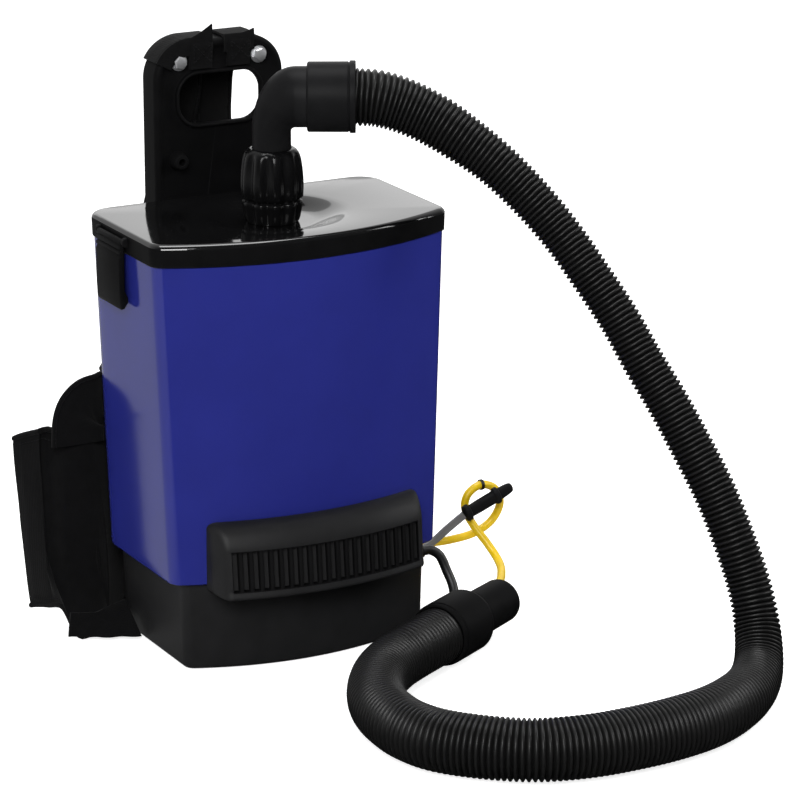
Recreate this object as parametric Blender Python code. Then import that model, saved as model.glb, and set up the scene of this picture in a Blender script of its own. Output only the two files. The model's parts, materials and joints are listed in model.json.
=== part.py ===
"""Backpack vacuum cleaner: body, lid, harness frame, hose and cords, standing on the floor.

Metres, +Z up. X is across the body and -Y is the bowed front, which faces away from the wearer.
The origin is on the floor, under the middle of the base.
"""

import math

import bmesh
import bpy
import numpy as np
from mathutils import Matrix, Vector

# Clearances
GAP = 0.0004
SLIDE_FIT = 0.0005

# Body: a D in plan that narrows from the lid to the base
LID_TOP = 0.386
LID_RIM_HEIGHT = 0.020
BASE_HEIGHT = 0.080
LID_HALF_WIDTH = 0.1407
BASE_HALF_WIDTH = 0.1273
LID_FRONT = -0.0665
BASE_FRONT = -0.0700
LID_BOW = 0.0362
BASE_BOW = 0.0265
BODY_BACK = 0.0755
FRONT_CORNER = 0.014
BACK_CORNER = 0.022
LID_OVERHANG = 0.0015
BASE_INSET = 0.0020
BASE_SIDE_INSET = 0.0080
WALL = 0.0030
SHELL_FLOOR = 0.0040
EDGE_ROUND = 0.0050

# Lid dish and hose inlet
INLET_Y = -0.009
DISH_RADIUS = 0.068
DISH_SQUASH = 0.96
DISH_DEPTH = 0.008
LID_SKIN = 0.0040
INLET_RADIUS = 0.0170

# Swivel collar, elbow and hose cuff
COLLAR_HEIGHT = 0.065
COLLAR_TOP = LID_TOP - DISH_DEPTH + COLLAR_HEIGHT
COLLAR_RADIUS = 0.0278
COLLAR_LOBES = 10
LOBE_DEPTH = 0.0026
NECK_RADIUS = 0.0170
NECK_INSERT = 0.043
NECK_FOOT = COLLAR_TOP - NECK_INSERT
ARM_RADIUS = 0.0265
ARM_RISE = 0.045
ARM_HEIGHT = COLLAR_TOP + ARM_RISE
ARM_ANGLE = math.radians(-28.4)
ARM_END = 0.0393
ELBOW_WALL = 0.0030
ELBOW_INNER_BEND = 0.004
CUFF_START = 0.031
CUFF_END = 0.073
CUFF_WALL = 0.0040
CUFF_RADIUS = ARM_RADIUS + CUFF_WALL
CUFF_BEAD = 0.0010
HOSE_BORE_SHARE = 0.74

# Exhaust vent cover
VENT_HALF_WIDTH = 0.1025
VENT_TOP = 0.138
VENT_BOTTOM = 0.074
SLAT_TOP = 0.116
SLAT_BOTTOM = 0.081
SLAT_COUNT = 21
SLOT_WIDTH = 0.0042
HOOD_REACH = 0.0225
SLAT_REACH = 0.0262
LIP_REACH = 0.0280
VENT_WALL = 0.0026
FILTER_THICKNESS = 0.0060

# Harness frame behind the body
PLATE_HALF_WIDTH = 0.0640
PLATE_TOP_HALF_WIDTH = 0.0630
PLATE_TOP = 0.521
PLATE_BOTTOM = 0.020
PLATE_FRONT = 0.095
PLATE_SKIN = 0.0030
FLANGE_DEPTH = 0.0245
FLANGE_WALL = 0.0040
PLATE_BACK = PLATE_FRONT + FLANGE_DEPTH
PLATE_SHOULDER = 0.034
GRIP_HEIGHT = PLATE_TOP - 0.0525
GRIP_HALF_WIDTH = 0.040
GRIP_HALF_HEIGHT = 0.0225
GRIP_CORNER = 0.019
GRIP_RIM = 0.0030
BOLT_X = 0.039
BOLT_Z = PLATE_TOP - 0.018
BOLT_HEAD_RADIUS = 0.0070
STANDOFF_RADIUS = 0.010
STANDOFF_X = 0.045
STANDOFF_LOW = 0.130
STANDOFF_HIGH = 0.310
BOSS_X = 0.0415
BOSS_HEIGHTS = (PLATE_TOP - 0.1065, PLATE_TOP - 0.1695)

# Latches on the sides of the lid
LATCH_LENGTH = 0.049
LATCH_START_Y = -0.012
LATCH_THICKNESS = 0.0052
LATCH_BOTTOM = LID_TOP - 0.069
LATCH_AXIS_Z = LID_TOP - 0.009
LATCH_KNUCKLE = 0.0024
LUG_LENGTH = 0.0045

# Motor, fan and dust bag
MOTOR_RADIUS = 0.043
MOTOR_FOOT = 0.0035
MOTOR_TOP = BASE_HEIGHT - 0.034
SHAFT_RADIUS = 0.0040
FAN_RADIUS = 0.038
FAN_FLOOR = MOTOR_TOP + 0.004
FAN_BLADES = 9
FAN_BLADE_HEIGHT = 0.014
INTAKE_RADIUS = 0.024
BAG_INSET = 0.018
BAG_TOP = LID_TOP - 0.029

# Soft harness
WEB_WIDTH = 0.023
WEB_THICKNESS = 0.0022
WEB_SLACK = 0.0009
STRAP_THICKNESS = 0.0050
STRAP_WIDTH = 0.036
LOOP_SPACING = 0.0185
BELT_THICKNESS = 0.012
BELT_HEAD = 0.190
BELT_ROOT_Y = PLATE_FRONT + FLANGE_DEPTH / 2
WING_FOLD = 0.170
WING_TAPER = 0.5

# Hose end, wand connector and cords
HOSE_RIBS = 150
HOSE_SIDES = 8
RIB_DEPTH = 0.0024
HOSE_LEAD = 0.042
HOSE_SAG = 0.0100
END_CUFF_RADIUS = 0.0285
END_CUFF_LENGTH = 0.053
END_ANGLE = math.radians(29.5)
CONNECTOR_RADIUS = 0.0205
CONNECTOR_REACH = 0.109
POWER_CORD_RADIUS = 0.0039
SWITCH_LEAD_RADIUS = 0.0045
GLAND_LENGTH = 0.024
GLAND_SEAT = 0.0015
GLAND_FIT = 0.0012
POWER_GLAND_AT = (0.048, 0.045)
LEAD_GLAND_AT = (-0.020, 0.052)

HOSE_ROUTE = [
    # x, y, z and outer radius, from the elbow cuff to the end cuff
    (0.135, -0.091, 0.458, 0.0225),
    (0.161, -0.115, 0.434, 0.0205),
    (0.184, -0.139, 0.405, 0.0195),
    (0.203, -0.162, 0.374, 0.0187),
    (0.219, -0.184, 0.341, 0.0185),
    (0.234, -0.206, 0.307, 0.0185),
    (0.247, -0.227, 0.271, 0.0188),
    (0.260, -0.248, 0.237, 0.0190),
    (0.272, -0.269, 0.201, 0.0192),
    (0.283, -0.289, 0.165, 0.0192),
    (0.291, -0.308, 0.127, 0.0192),
    (0.297, -0.325, 0.088, 0.0195),
    (0.295, -0.342, 0.055, 0.0202),
    (0.282, -0.364, 0.033, 0.0215),
    (0.258, -0.390, 0.0265, 0.0232),
    (0.225, -0.415, 0.0265, 0.0248),
    (0.189, -0.432, 0.0268, 0.0258),
    (0.150, -0.440, 0.0270, 0.0262),
    (0.110, -0.442, 0.0270, 0.0262),
    (0.069, -0.439, 0.0270, 0.0262),
    (0.029, -0.427, 0.0270, 0.0262),
    (-0.004, -0.404, 0.0270, 0.0262),
    (-0.032, -0.372, 0.0270, 0.0262),
    (-0.043, -0.341, 0.0268, 0.0260),
    (-0.0445, -0.312, 0.0268, 0.0258),
    (-0.040, -0.282, 0.0268, 0.0255),
    (-0.027, -0.251, 0.0268, 0.0252),
    (-0.007, -0.222, 0.0272, 0.0252),
    (0.016, -0.202, 0.0282, 0.0252),
]
END_CUFF_AT = (0.079, -0.167, 0.0300)
POWER_ROUTE = [
    (0.168, 0.060, 0.036),
    (0.188, 0.069, 0.027),
    (0.208, 0.075, 0.021),
    (0.232, 0.079, 0.019),
    (0.256, 0.081, 0.021),
    (0.274, 0.080, 0.031),
    (0.281, 0.077, 0.048),
    (0.274, 0.075, 0.064),
    (0.258, 0.073, 0.071),
    (0.244, 0.0730, 0.064),
    (0.240, 0.0720, 0.051),
    (0.245, 0.0660, 0.036),
    (0.253, 0.053, 0.020),
    (0.257, 0.042, 0.009),
    (0.252, 0.024, 0.005),
    (0.241, 0.004, 0.0055),
    (0.230, -0.014, 0.009),
]
PLUG_AT = (0.2050, -0.0520, 0.0118)
PLUG_ANGLE = math.radians(240.0)
PLUG_RADIUS = 0.0112
LEAD_ROUTE = [
    (0.160, -0.0235, 0.0460),
    (0.164, -0.029, 0.033),
    (0.166, -0.0365, 0.0215),
    (0.164, -0.044, 0.0125),
]
SWITCH_SIZE = (0.028, 0.034, 0.018)
SWITCH_AT = (0.157, -0.080)
HOOK_STRIP_ROUTE = [
    (0.145, 0.034, 0.025),
    (0.169, 0.046, 0.023),
    (0.198, 0.060, 0.027),
    (0.216, 0.061, 0.038),
]
HOOK_FOOT = (0.233, 0.060, 0.049)
HOOK_TIP = (0.284, 0.060, 0.069)
LEFT_STRAP_ROUTE = [
    # x, distance behind the plate, share of the way down to the belt, share of a quarter turn of the width
    (-0.0195, 0.0062, 0.033, 0),
    (-0.0200, 0.0090, 0.151, 0),
    (-0.0230, 0.0280, 0.332, 0),
    (-0.0330, 0.0400, 0.544, 0.1),
    (-0.0520, 0.0360, 0.725, 0.35),
    (-0.0800, 0.0180, 0.876, 0.7),
    (-0.1040, -0.0040, 0.931, 0.95),
    (-0.1220, -0.0220, 0.935, 1),
    (-0.1380, -0.0270, 0.940, 1),
    (-0.1490, -0.0300, 0.964, 1),
    (-0.1545, -0.0330, 0.9945, 1),
]
RIGHT_STRAP_ROUTE = [
    (0.0195, 0.0062, 0.033, 0),
    (0.0175, 0.0132, 0.085, 0),
    (0.0140, 0.0155, 0.151, 0),
    (0.0200, 0.0300, 0.332, 0),
    (0.0300, 0.0420, 0.570, 0),
    (0.0360, 0.0380, 0.850, 0),
    (0.0400, 0.0220, 1.090, 0),
    (0.0420, 0.0075, 1.270, 0),
]


def clear_scene():
    for item in list(bpy.data.objects):
        bpy.data.objects.remove(item, do_unlink=True)


def material(name, colour, roughness, metallic=0.0):
    """A Principled material of one linear colour."""
    made = bpy.data.materials.new(name)
    made.use_nodes = True
    shader = made.node_tree.nodes["Principled BSDF"]
    shader.inputs["Base Color"].default_value = (*colour, 1.0)
    shader.inputs["Roughness"].default_value = roughness
    shader.inputs["Metallic"].default_value = metallic
    return made


def mix(first, last, share):
    return first + (last - first) * share


def add_object(name, builder, finish, at=(0, 0, 0), turn=0.0, parent=None, smooth=35):
    """Turns a bmesh into a named object that faces out, placed by location and turn about Z."""
    bmesh.ops.recalc_face_normals(builder, faces=builder.faces)
    mesh = bpy.data.meshes.new(name)
    builder.to_mesh(mesh)
    builder.free()
    mesh.shade_smooth()
    mesh.set_sharp_from_angle(angle=math.radians(smooth))
    made = bpy.data.objects.new(name, mesh)
    bpy.context.collection.objects.link(made)
    made.location = at
    made.rotation_euler = (0, 0, turn)
    if finish is not None:
        mesh.materials.append(finish)
    if parent is not None:
        made.parent = parent
        made.matrix_parent_inverse = parent.matrix_basis.inverted()
    return made


def joint_empty(name, at):
    made = bpy.data.objects.new(name, None)
    made.empty_display_size = 0.03
    bpy.context.collection.objects.link(made)
    made.location = at
    return made


def loft_bmesh(rings, closed=False):
    """Skins rings of equal point counts, with end caps or, when closed, back to the first ring."""
    builder = bmesh.new()
    rows = [[builder.verts.new(point) for point in ring] for ring in rings]
    pairs = list(zip(rows, rows[1:]))
    if closed:
        pairs.append((rows[-1], rows[0]))
    for low, high in pairs:
        count = len(low)
        for i in range(count):
            j = (i + 1) % count
            builder.faces.new((low[i], low[j], high[j], high[i]))
    if not closed:
        builder.faces.new(rows[0])
        builder.faces.new(rows[-1])
    return builder


def loft(name, rings, finish, closed=False, **place):
    return add_object(name, loft_bmesh(rings, closed), finish, **place)


def circle(radius, height, count, centre=(0, 0), phase=0.0):
    """A level ring of points."""
    turns = [phase + math.tau * i / count for i in range(count)]
    return [
        (centre[0] + radius * math.cos(t), centre[1] + radius * math.sin(t), height) for t in turns
    ]


def turned(name, profile, finish, count=24, closed=True, axis="Z", **place):
    """Revolves (along, radius) pairs about Z, or about X."""
    rings = []
    for along, radius in profile:
        ring = circle(radius, along, count)
        if axis == "X":
            ring = [(z, x, y) for x, y, z in ring]
        rings.append(ring)
    return loft(name, rings, finish, closed, **place)


def cut(target, cutter, operation="DIFFERENCE"):
    """Adds a Boolean whose cutter stays as a hidden guide."""
    cutter.hide_render = True
    cutter.display_type = "WIRE"
    modifier = target.modifiers.new(cutter.name, "BOOLEAN")
    modifier.operation = operation
    modifier.object = cutter
    modifier.solver = "EXACT"


def block_bmesh(low, high):
    """A box between two corners."""
    builder = bmesh.new()
    bmesh.ops.create_cube(builder, size=1.0)
    size = [b - a for a, b in zip(low, high)]
    middle = [(a + b) / 2 for a, b in zip(low, high)]
    bmesh.ops.scale(builder, vec=size, verts=builder.verts)
    bmesh.ops.translate(builder, vec=middle, verts=builder.verts)
    return builder


def soft_block(name, low, high, finish, bevel, **place):
    """A box with rounded edges."""
    builder = block_bmesh(low, high)
    edges = list(builder.edges)
    bmesh.ops.bevel(builder, geom=edges, offset=bevel, segments=2, profile=0.5, affect="EDGES")
    return add_object(name, builder, finish, **place)


def smooth_route(points, spacing):
    """Evenly spaced samples of the Catmull-Rom curve through the points, all columns alike."""
    rows = np.array(points, float)
    ends = np.vstack([2 * rows[0] - rows[1], rows, 2 * rows[-1] - rows[-2]])
    dense = []
    for i in range(1, len(ends) - 2):
        before, here, there, after = ends[i - 1 : i + 3]
        for share in np.linspace(0, 1, 24, endpoint=False):
            dense.append(
                0.5
                * (
                    2 * here
                    + (there - before) * share
                    + (2 * before - 5 * here + 4 * there - after) * share**2
                    + (3 * here - before - 3 * there + after) * share**3
                )
            )
    dense.append(rows[-1])
    dense = np.array(dense)
    steps = np.linalg.norm(np.diff(dense[:, :3], axis=0), axis=1)
    along = np.concatenate([[0.0], np.cumsum(steps)])
    count = max(2, int(round(along[-1] / spacing)))
    at = np.linspace(0, along[-1], count + 1)
    return np.column_stack([np.interp(at, along, dense[:, k]) for k in range(dense.shape[1])])


def frames(path):
    """A side and an up vector at each point, carried along without twist."""
    tangents = np.gradient(path, axis=0)
    tangents /= np.linalg.norm(tangents, axis=1)[:, None]
    side = np.cross(tangents[0], (0, 0, 1))
    pairs = []
    for tangent in tangents:
        side = side - tangent * np.dot(side, tangent)
        side /= np.linalg.norm(side)
        pairs.append((side.copy(), np.cross(side, tangent)))
    return pairs


def cord(name, points, radius, finish):
    """A round cord: a curve with a bevel along a smooth route."""
    path = smooth_route(points, radius * 2.5)
    curve = bpy.data.curves.new(name, "CURVE")
    curve.dimensions = "3D"
    curve.bevel_depth = radius
    curve.bevel_resolution = 2
    curve.use_fill_caps = True
    spline = curve.splines.new("POLY")
    spline.points.add(len(path) - 1)
    for point, place in zip(spline.points, path):
        point.co = (*place, 1.0)
    made = bpy.data.objects.new(name, curve)
    bpy.context.collection.objects.link(made)
    curve.materials.append(finish)
    length = np.linalg.norm(np.diff(path, axis=0), axis=1).sum()
    print(f"{name}: {length:.3f} m long")
    return made


def ribbon(name, path, across, width, thickness, finish):
    """A flat band along a path, its width along the given directions."""
    path = np.array(path, float)
    tangents = np.gradient(path, axis=0)
    rings = []
    for place, tangent, wide in zip(path, tangents, across):
        wide = Vector(wide).normalized()
        thin = Vector(tangent).cross(wide).normalized()
        wide = thin.cross(Vector(tangent)).normalized()
        place = Vector(place)
        edge = wide * (width / 2)
        half = thin * (thickness / 2)
        inner = wide * (width / 2 - thickness * 0.45)
        rings.append(
            [place - edge, place - inner - half, place + inner - half, place + edge,
             place + inner + half, place - inner + half]
        )
    return loft(name, rings, finish)


def body_measures(height):
    """Half width, front corner line and bow of the body at a height."""
    share = height / LID_TOP
    half = mix(BASE_HALF_WIDTH, LID_HALF_WIDTH, share)
    return half, mix(BASE_FRONT, LID_FRONT, share), mix(BASE_BOW, LID_BOW, share)


def front_y(x, height):
    """The bowed front's Y at an X and a height."""
    half, front, bow = body_measures(height)
    radius = (half**2 + bow**2) / (2 * bow)
    return front - bow + radius - math.sqrt(radius**2 - x**2)


def body_outline(height, inset=0.0, z=None, narrower=0.0):
    """The D of the body at a height, drawn in by an inset and narrowed at its sides, as a ring of points."""
    half, front, bow = body_measures(height)
    half -= inset + narrower
    front += inset
    back = BODY_BACK - inset
    level = height if z is None else z
    radius = (half**2 + bow**2) / (2 * bow)
    middle = front - bow + radius
    lean = math.asin(half / radius)
    corner = max(FRONT_CORNER - inset, 0.006)
    rear = max(BACK_CORNER - inset, 0.004)
    tangent = corner * math.tan((math.pi / 2 - lean) / 2)
    left = []
    for i in range(4):
        t = math.pi / 2 * (1 + i / 3)
        left.append((-half + rear + rear * math.cos(t), back - rear + rear * math.sin(t)))
    for share in (1 / 3, 2 / 3):
        left.append((-half, mix(back - rear, front + tangent, share)))
    for i in range(5):
        t = math.pi + (math.pi / 2 - lean) * i / 5
        left.append((-half + corner + corner * math.cos(t), front + tangent + corner * math.sin(t)))
    reach = half - corner + corner * math.sin(lean)
    bowed = []
    for i in range(13):
        x = reach * (i / 6 - 1)
        bowed.append((x, middle - math.sqrt(radius**2 - x**2)))
    right = [(-x, y) for x, y in reversed(left)]
    fan = math.atan2(half - rear, back - INLET_Y)
    straight = [((back - INLET_Y) * math.tan(fan * (1 - i / 4)), back) for i in range(1, 8)]
    return [(x, y, level) for x, y in left + bowed + right + straight]


def dish_ring(radius, height, squash=1.0):
    """A ring round the inlet whose points lie on the rays of the body outline's own points."""
    ring = []
    for x, y, _ in body_outline(LID_TOP):
        t = math.atan2(y - INLET_Y, x)
        ring.append((radius * math.cos(t), INLET_Y + radius * squash * math.sin(t), height))
    return ring


def make_body(blue, black, grey_foam, bag_paper, steel):
    shell_top = LID_TOP - LID_RIM_HEIGHT - GAP
    shell_floor = BASE_HEIGHT + SHELL_FLOOR
    shell = loft(
        "body_shell",
        [
            body_outline(BASE_HEIGHT, 0.0025, BASE_HEIGHT + GAP),
            body_outline(BASE_HEIGHT + 0.003),
            body_outline(shell_top),
            body_outline(shell_top, WALL),
            body_outline(shell_floor, WALL),
        ],
        blue,
    )
    intake = turned(
        "intake_cutter",
        [(shell_floor + 0.01, INTAKE_RADIUS), (BASE_HEIGHT - 0.01, INTAKE_RADIUS)],
        None, closed=False,
    )
    cut(shell, intake)

    base_rings = [
        (0.0, BASE_INSET + EDGE_ROUND),
        (0.002, BASE_INSET + EDGE_ROUND * 0.3),
        (EDGE_ROUND, BASE_INSET),
        (BASE_HEIGHT, BASE_INSET),
        (BASE_HEIGHT, BASE_INSET + WALL),
        (WALL, BASE_INSET + WALL + EDGE_ROUND),
    ]
    base = loft(
        "base_housing",
        [body_outline(height, inset, narrower=BASE_SIDE_INSET) for height, inset in base_rings],
        black,
    )

    lid_low = LID_TOP - LID_RIM_HEIGHT
    dish_floor = LID_TOP - DISH_DEPTH
    lid = loft(
        "lid",
        [
            body_outline(lid_low, -LID_OVERHANG),
            body_outline(LID_TOP - EDGE_ROUND, -LID_OVERHANG),
            body_outline(LID_TOP - EDGE_ROUND * 0.3, EDGE_ROUND * 0.3 - LID_OVERHANG),
            body_outline(LID_TOP, EDGE_ROUND - LID_OVERHANG),
            dish_ring(DISH_RADIUS + 0.002, LID_TOP, DISH_SQUASH),
            dish_ring(DISH_RADIUS - 0.001, LID_TOP - 0.0012, DISH_SQUASH),
            dish_ring(COLLAR_RADIUS + 0.008, dish_floor),
            dish_ring(INLET_RADIUS, dish_floor),
            dish_ring(INLET_RADIUS, dish_floor - LID_SKIN),
            dish_ring(DISH_RADIUS, dish_floor - LID_SKIN, DISH_SQUASH),
            body_outline(lid_low, WALL, dish_floor - LID_SKIN),
            body_outline(lid_low, WALL),
        ],
        black, closed=True,
    )
    for side in (-1, 1):
        for name, start in (
            ("front", LATCH_START_Y - GAP - LUG_LENGTH),
            ("rear", LATCH_START_Y + LATCH_LENGTH + GAP),
        ):
            face = side * (lid_side(LATCH_AXIS_Z) - 0.002)
            out = side * (lid_side(LATCH_AXIS_Z) + LATCH_THICKNESS)
            low = (min(face, out), start, LATCH_AXIS_Z - 0.004)
            high = (max(face, out), start + LUG_LENGTH, LATCH_AXIS_Z + 0.0035)
            lug = add_object(f"lug_{name}_{side}", block_bmesh(low, high), None)
            cut(lid, lug, "UNION")

    seal_low = lid_low - 0.004
    seal_high = lid_low + 0.004
    loft(
        "lid_seal",
        [
            body_outline(lid_low, WALL + 2 * GAP, seal_low),
            body_outline(lid_low, WALL + GAP, seal_high),
            body_outline(lid_low, WALL + 0.004, seal_high),
            body_outline(lid_low, WALL + 0.004, seal_low),
        ],
        grey_foam, closed=True,
    )

    spigot_top = dish_floor + 0.0008
    turned(
        "inlet_spigot",
        [(spigot_top, INLET_RADIUS - SLIDE_FIT), (BAG_TOP + 0.0006, INLET_RADIUS - SLIDE_FIT),
         (BAG_TOP + 0.0006, INLET_RADIUS - 0.003), (spigot_top, INLET_RADIUS - 0.003)],
        black, at=(0, INLET_Y, 0),
    )
    turned(
        "bag_collar",
        [(BAG_TOP + 0.0030, INLET_RADIUS + 0.017), (BAG_TOP + 0.0005, INLET_RADIUS + 0.017),
         (BAG_TOP + 0.0005, INLET_RADIUS + GAP), (BAG_TOP + 0.0030, INLET_RADIUS + GAP)],
        bag_paper, at=(0, INLET_Y, 0),
    )
    bag_low = shell_floor + 0.0006
    loft(
        "dust_bag",
        [
            body_outline(bag_low, BAG_INSET + 0.012),
            body_outline(bag_low + 0.012, BAG_INSET),
            body_outline(mix(bag_low, BAG_TOP, 0.46), BAG_INSET - 0.006),
            body_outline(BAG_TOP - 0.032, BAG_INSET + 0.004),
            body_outline(BAG_TOP - 0.0135, BAG_INSET + 0.022),
            dish_ring(INLET_RADIUS + 0.013, BAG_TOP),
        ],
        bag_paper,
    )

    turned(
        "motor_body",
        [(MOTOR_TOP, 0.030), (MOTOR_TOP - 0.006, MOTOR_RADIUS), (MOTOR_FOOT + 0.004, MOTOR_RADIUS),
         (MOTOR_FOOT, MOTOR_RADIUS - 0.004), (MOTOR_FOOT, SHAFT_RADIUS + SLIDE_FIT),
         (MOTOR_TOP, SHAFT_RADIUS + SLIDE_FIT)],
        steel, count=32,
    )
    turned(
        "motor_seal",
        [(BASE_HEIGHT - GAP, INTAKE_RADIUS + 0.010), (BASE_HEIGHT - 0.008, INTAKE_RADIUS + 0.010),
         (BASE_HEIGHT - 0.008, INTAKE_RADIUS + 0.001), (BASE_HEIGHT - GAP, INTAKE_RADIUS + 0.001)],
        grey_foam, count=32,
    )
    make_fan(steel)
    return shell, base, lid


def lid_side(height):
    """X of the lid's straight side at a height."""
    return body_measures(height)[0] + LID_OVERHANG


def base_side(height):
    """X of the base's straight side at a height."""
    return body_measures(height)[0] - BASE_INSET - BASE_SIDE_INSET


def make_fan(steel):
    """The suction fan: a disc with back-swept blades on the motor shaft."""
    axis = joint_empty("fan_axis", (0, 0, FAN_FLOOR))
    fan = turned(
        "suction_fan",
        [(FAN_FLOOR + 0.010, 0.0065), (FAN_FLOOR + 0.002, 0.0095), (FAN_FLOOR + 0.002, FAN_RADIUS),
         (FAN_FLOOR, FAN_RADIUS), (FAN_FLOOR, SHAFT_RADIUS), (MOTOR_FOOT + 0.004, SHAFT_RADIUS)],
        steel, count=27, closed=False, parent=axis,
    )
    blades = bmesh.new()
    for i in range(FAN_BLADES):
        start = math.tau * i / FAN_BLADES
        rows = []
        for share in (0.0, 0.25, 0.5, 0.75, 1.0):
            reach = mix(0.013, FAN_RADIUS - 0.0008, share)
            turn = start - 0.75 * share
            middle = Vector((reach * math.cos(turn), reach * math.sin(turn), 0))
            thin = Vector((-math.sin(turn + 0.5), math.cos(turn + 0.5), 0)) * 0.0006
            low = Vector((0, 0, FAN_FLOOR + 0.001))
            high = Vector((0, 0, FAN_FLOOR + FAN_BLADE_HEIGHT))
            left, right = middle - thin, middle + thin
            rows.append([left + low, right + low, right + high, left + high])
        part = loft_bmesh(rows)
        bmesh.ops.recalc_face_normals(part, faces=part.faces)
        spare = bpy.data.meshes.new("blade")
        part.to_mesh(spare)
        part.free()
        blades.from_mesh(spare)
        bpy.data.meshes.remove(spare)
    cutter = add_object("fan_blades", blades, None)
    cut(fan, cutter, "UNION")


def vent_section(x, reaches, heights, behind):
    """One upright slice of the vent at an X: its front points, then its back on the body."""
    ends = 1.0 - max(0.0, (abs(x) / VENT_HALF_WIDTH - 0.93) / 0.07) ** 2 * 0.55
    front = [(x, front_y(x, z) - GAP - reach * ends, z) for reach, z in zip(reaches, heights)]
    back = [(x, front_y(x, z) - GAP + behind, z) for z in (heights[-1], heights[0])]
    return front + back


def slat_reach(height):
    """How far the slats stand off the body at a height."""
    share = (SLAT_TOP - height) / (SLAT_TOP - SLAT_BOTTOM)
    return mix(HOOD_REACH, SLAT_REACH, share)


def vent_stations(half):
    """X places of the vent's slices, closer together at its rounded ends."""
    shares = [-1, -0.985, -0.965, -0.94, -0.8, -0.6, -0.4, -0.2, 0]
    shares += [-share for share in reversed(shares[:-1])]
    return [half * share for share in shares]


def make_vent(black, grey_foam):
    """The exhaust cover: a hood over upright slats with a foam filter behind them."""
    heights = [VENT_TOP, VENT_TOP - 0.0035, VENT_TOP - 0.0095, SLAT_TOP + 0.004, SLAT_TOP, SLAT_BOTTOM,
               VENT_BOTTOM + 0.0025, VENT_BOTTOM]
    reaches = [0.0030, 0.0105, 0.0175, HOOD_REACH - 0.001]
    reaches += [HOOD_REACH, SLAT_REACH, LIP_REACH, LIP_REACH - 0.002]
    cover = loft(
        "exhaust_vent_cover",
        [vent_section(x, reaches, heights, 0.0) for x in vent_stations(VENT_HALF_WIDTH)],
        black,
    )
    hollow_heights = [VENT_TOP - VENT_WALL - 0.001, VENT_TOP - 0.0095]
    hollow_heights += [SLAT_TOP, SLAT_BOTTOM, VENT_BOTTOM + VENT_WALL]
    hollow_reaches = [0.0045, 0.0143, HOOD_REACH - VENT_WALL, SLAT_REACH - VENT_WALL, SLAT_REACH - VENT_WALL]
    hollow = loft(
        "vent_hollow",
        [
            vent_section(x, hollow_reaches, hollow_heights, 0.004)
            for x in vent_stations(VENT_HALF_WIDTH - 0.004)
        ],
        None,
    )
    cut(cover, hollow)
    slots = bmesh.new()
    pitch = 2 * (VENT_HALF_WIDTH - 0.010) / SLAT_COUNT
    for i in range(SLAT_COUNT):
        x = pitch * (i - (SLAT_COUNT - 1) / 2)
        y = front_y(x, SLAT_TOP)
        low = (x - SLOT_WIDTH / 2, y - 0.045, SLAT_BOTTOM)
        slot = block_bmesh(low, (x + SLOT_WIDTH / 2, y - 0.011, SLAT_TOP))
        spare = bpy.data.meshes.new("slot")
        slot.to_mesh(spare)
        slot.free()
        slots.from_mesh(spare)
        bpy.data.meshes.remove(spare)
    cut(cover, add_object("vent_slots", slots, None))

    rings = []
    for x in np.linspace(-1, 1, 13) * (VENT_HALF_WIDTH - 0.012):
        ring = []
        low, high = SLAT_BOTTOM + 0.001, SLAT_TOP - 0.001
        for z, back in ((high, 0), (low, 0), (low, 1), (high, 1)):
            reach = slat_reach(z) - VENT_WALL - 2 * GAP - back * FILTER_THICKNESS
            ring.append((x, front_y(x, z) - GAP - reach, z))
        rings.append(ring)
    loft("exhaust_filter", rings, grey_foam)


def make_latches(black):
    """Side latches that hinge at the lid's rim and spring over the shell."""
    for side, name in ((-1, "latch_left"), (1, "latch_right")):
        face = lid_side(LATCH_AXIS_Z) + GAP
        axis_x = face + LATCH_KNUCKLE
        outer = face + LATCH_THICKNESS
        shell_face = body_measures(LATCH_BOTTOM + 0.01)[0]
        profile = []
        for i in range(7):
            t = math.pi * i / 6
            x = axis_x - LATCH_KNUCKLE * math.cos(t)
            if i > 3:
                x = axis_x + (outer - axis_x) * -math.cos(t)
            profile.append((x, LATCH_AXIS_Z + LATCH_KNUCKLE * math.sin(t)))
        profile += [
            (outer + 0.0008, LATCH_AXIS_Z - 0.012),
            (outer + 0.0008, LATCH_BOTTOM + 0.016),
            (outer - 0.0008, LATCH_BOTTOM),
            (outer - 0.0040, LATCH_BOTTOM),
            (shell_face + 0.0010, LATCH_BOTTOM + 0.005),
            (shell_face + 0.0010, LATCH_BOTTOM + 0.010),
            (face + 0.0006, LATCH_BOTTOM + 0.016),
        ]
        axis = joint_empty(f"{name}_axis", (side * axis_x, LATCH_START_Y + LATCH_LENGTH / 2, LATCH_AXIS_Z))
        rings = [
            [(side * x, y, z) for x, z in profile]
            for y in (LATCH_START_Y, LATCH_START_Y + LATCH_LENGTH)
        ]
        latch = loft(name, rings, black)
        latch.parent = axis
        latch.matrix_parent_inverse = Matrix.Translation(axis.location).inverted()


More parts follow.
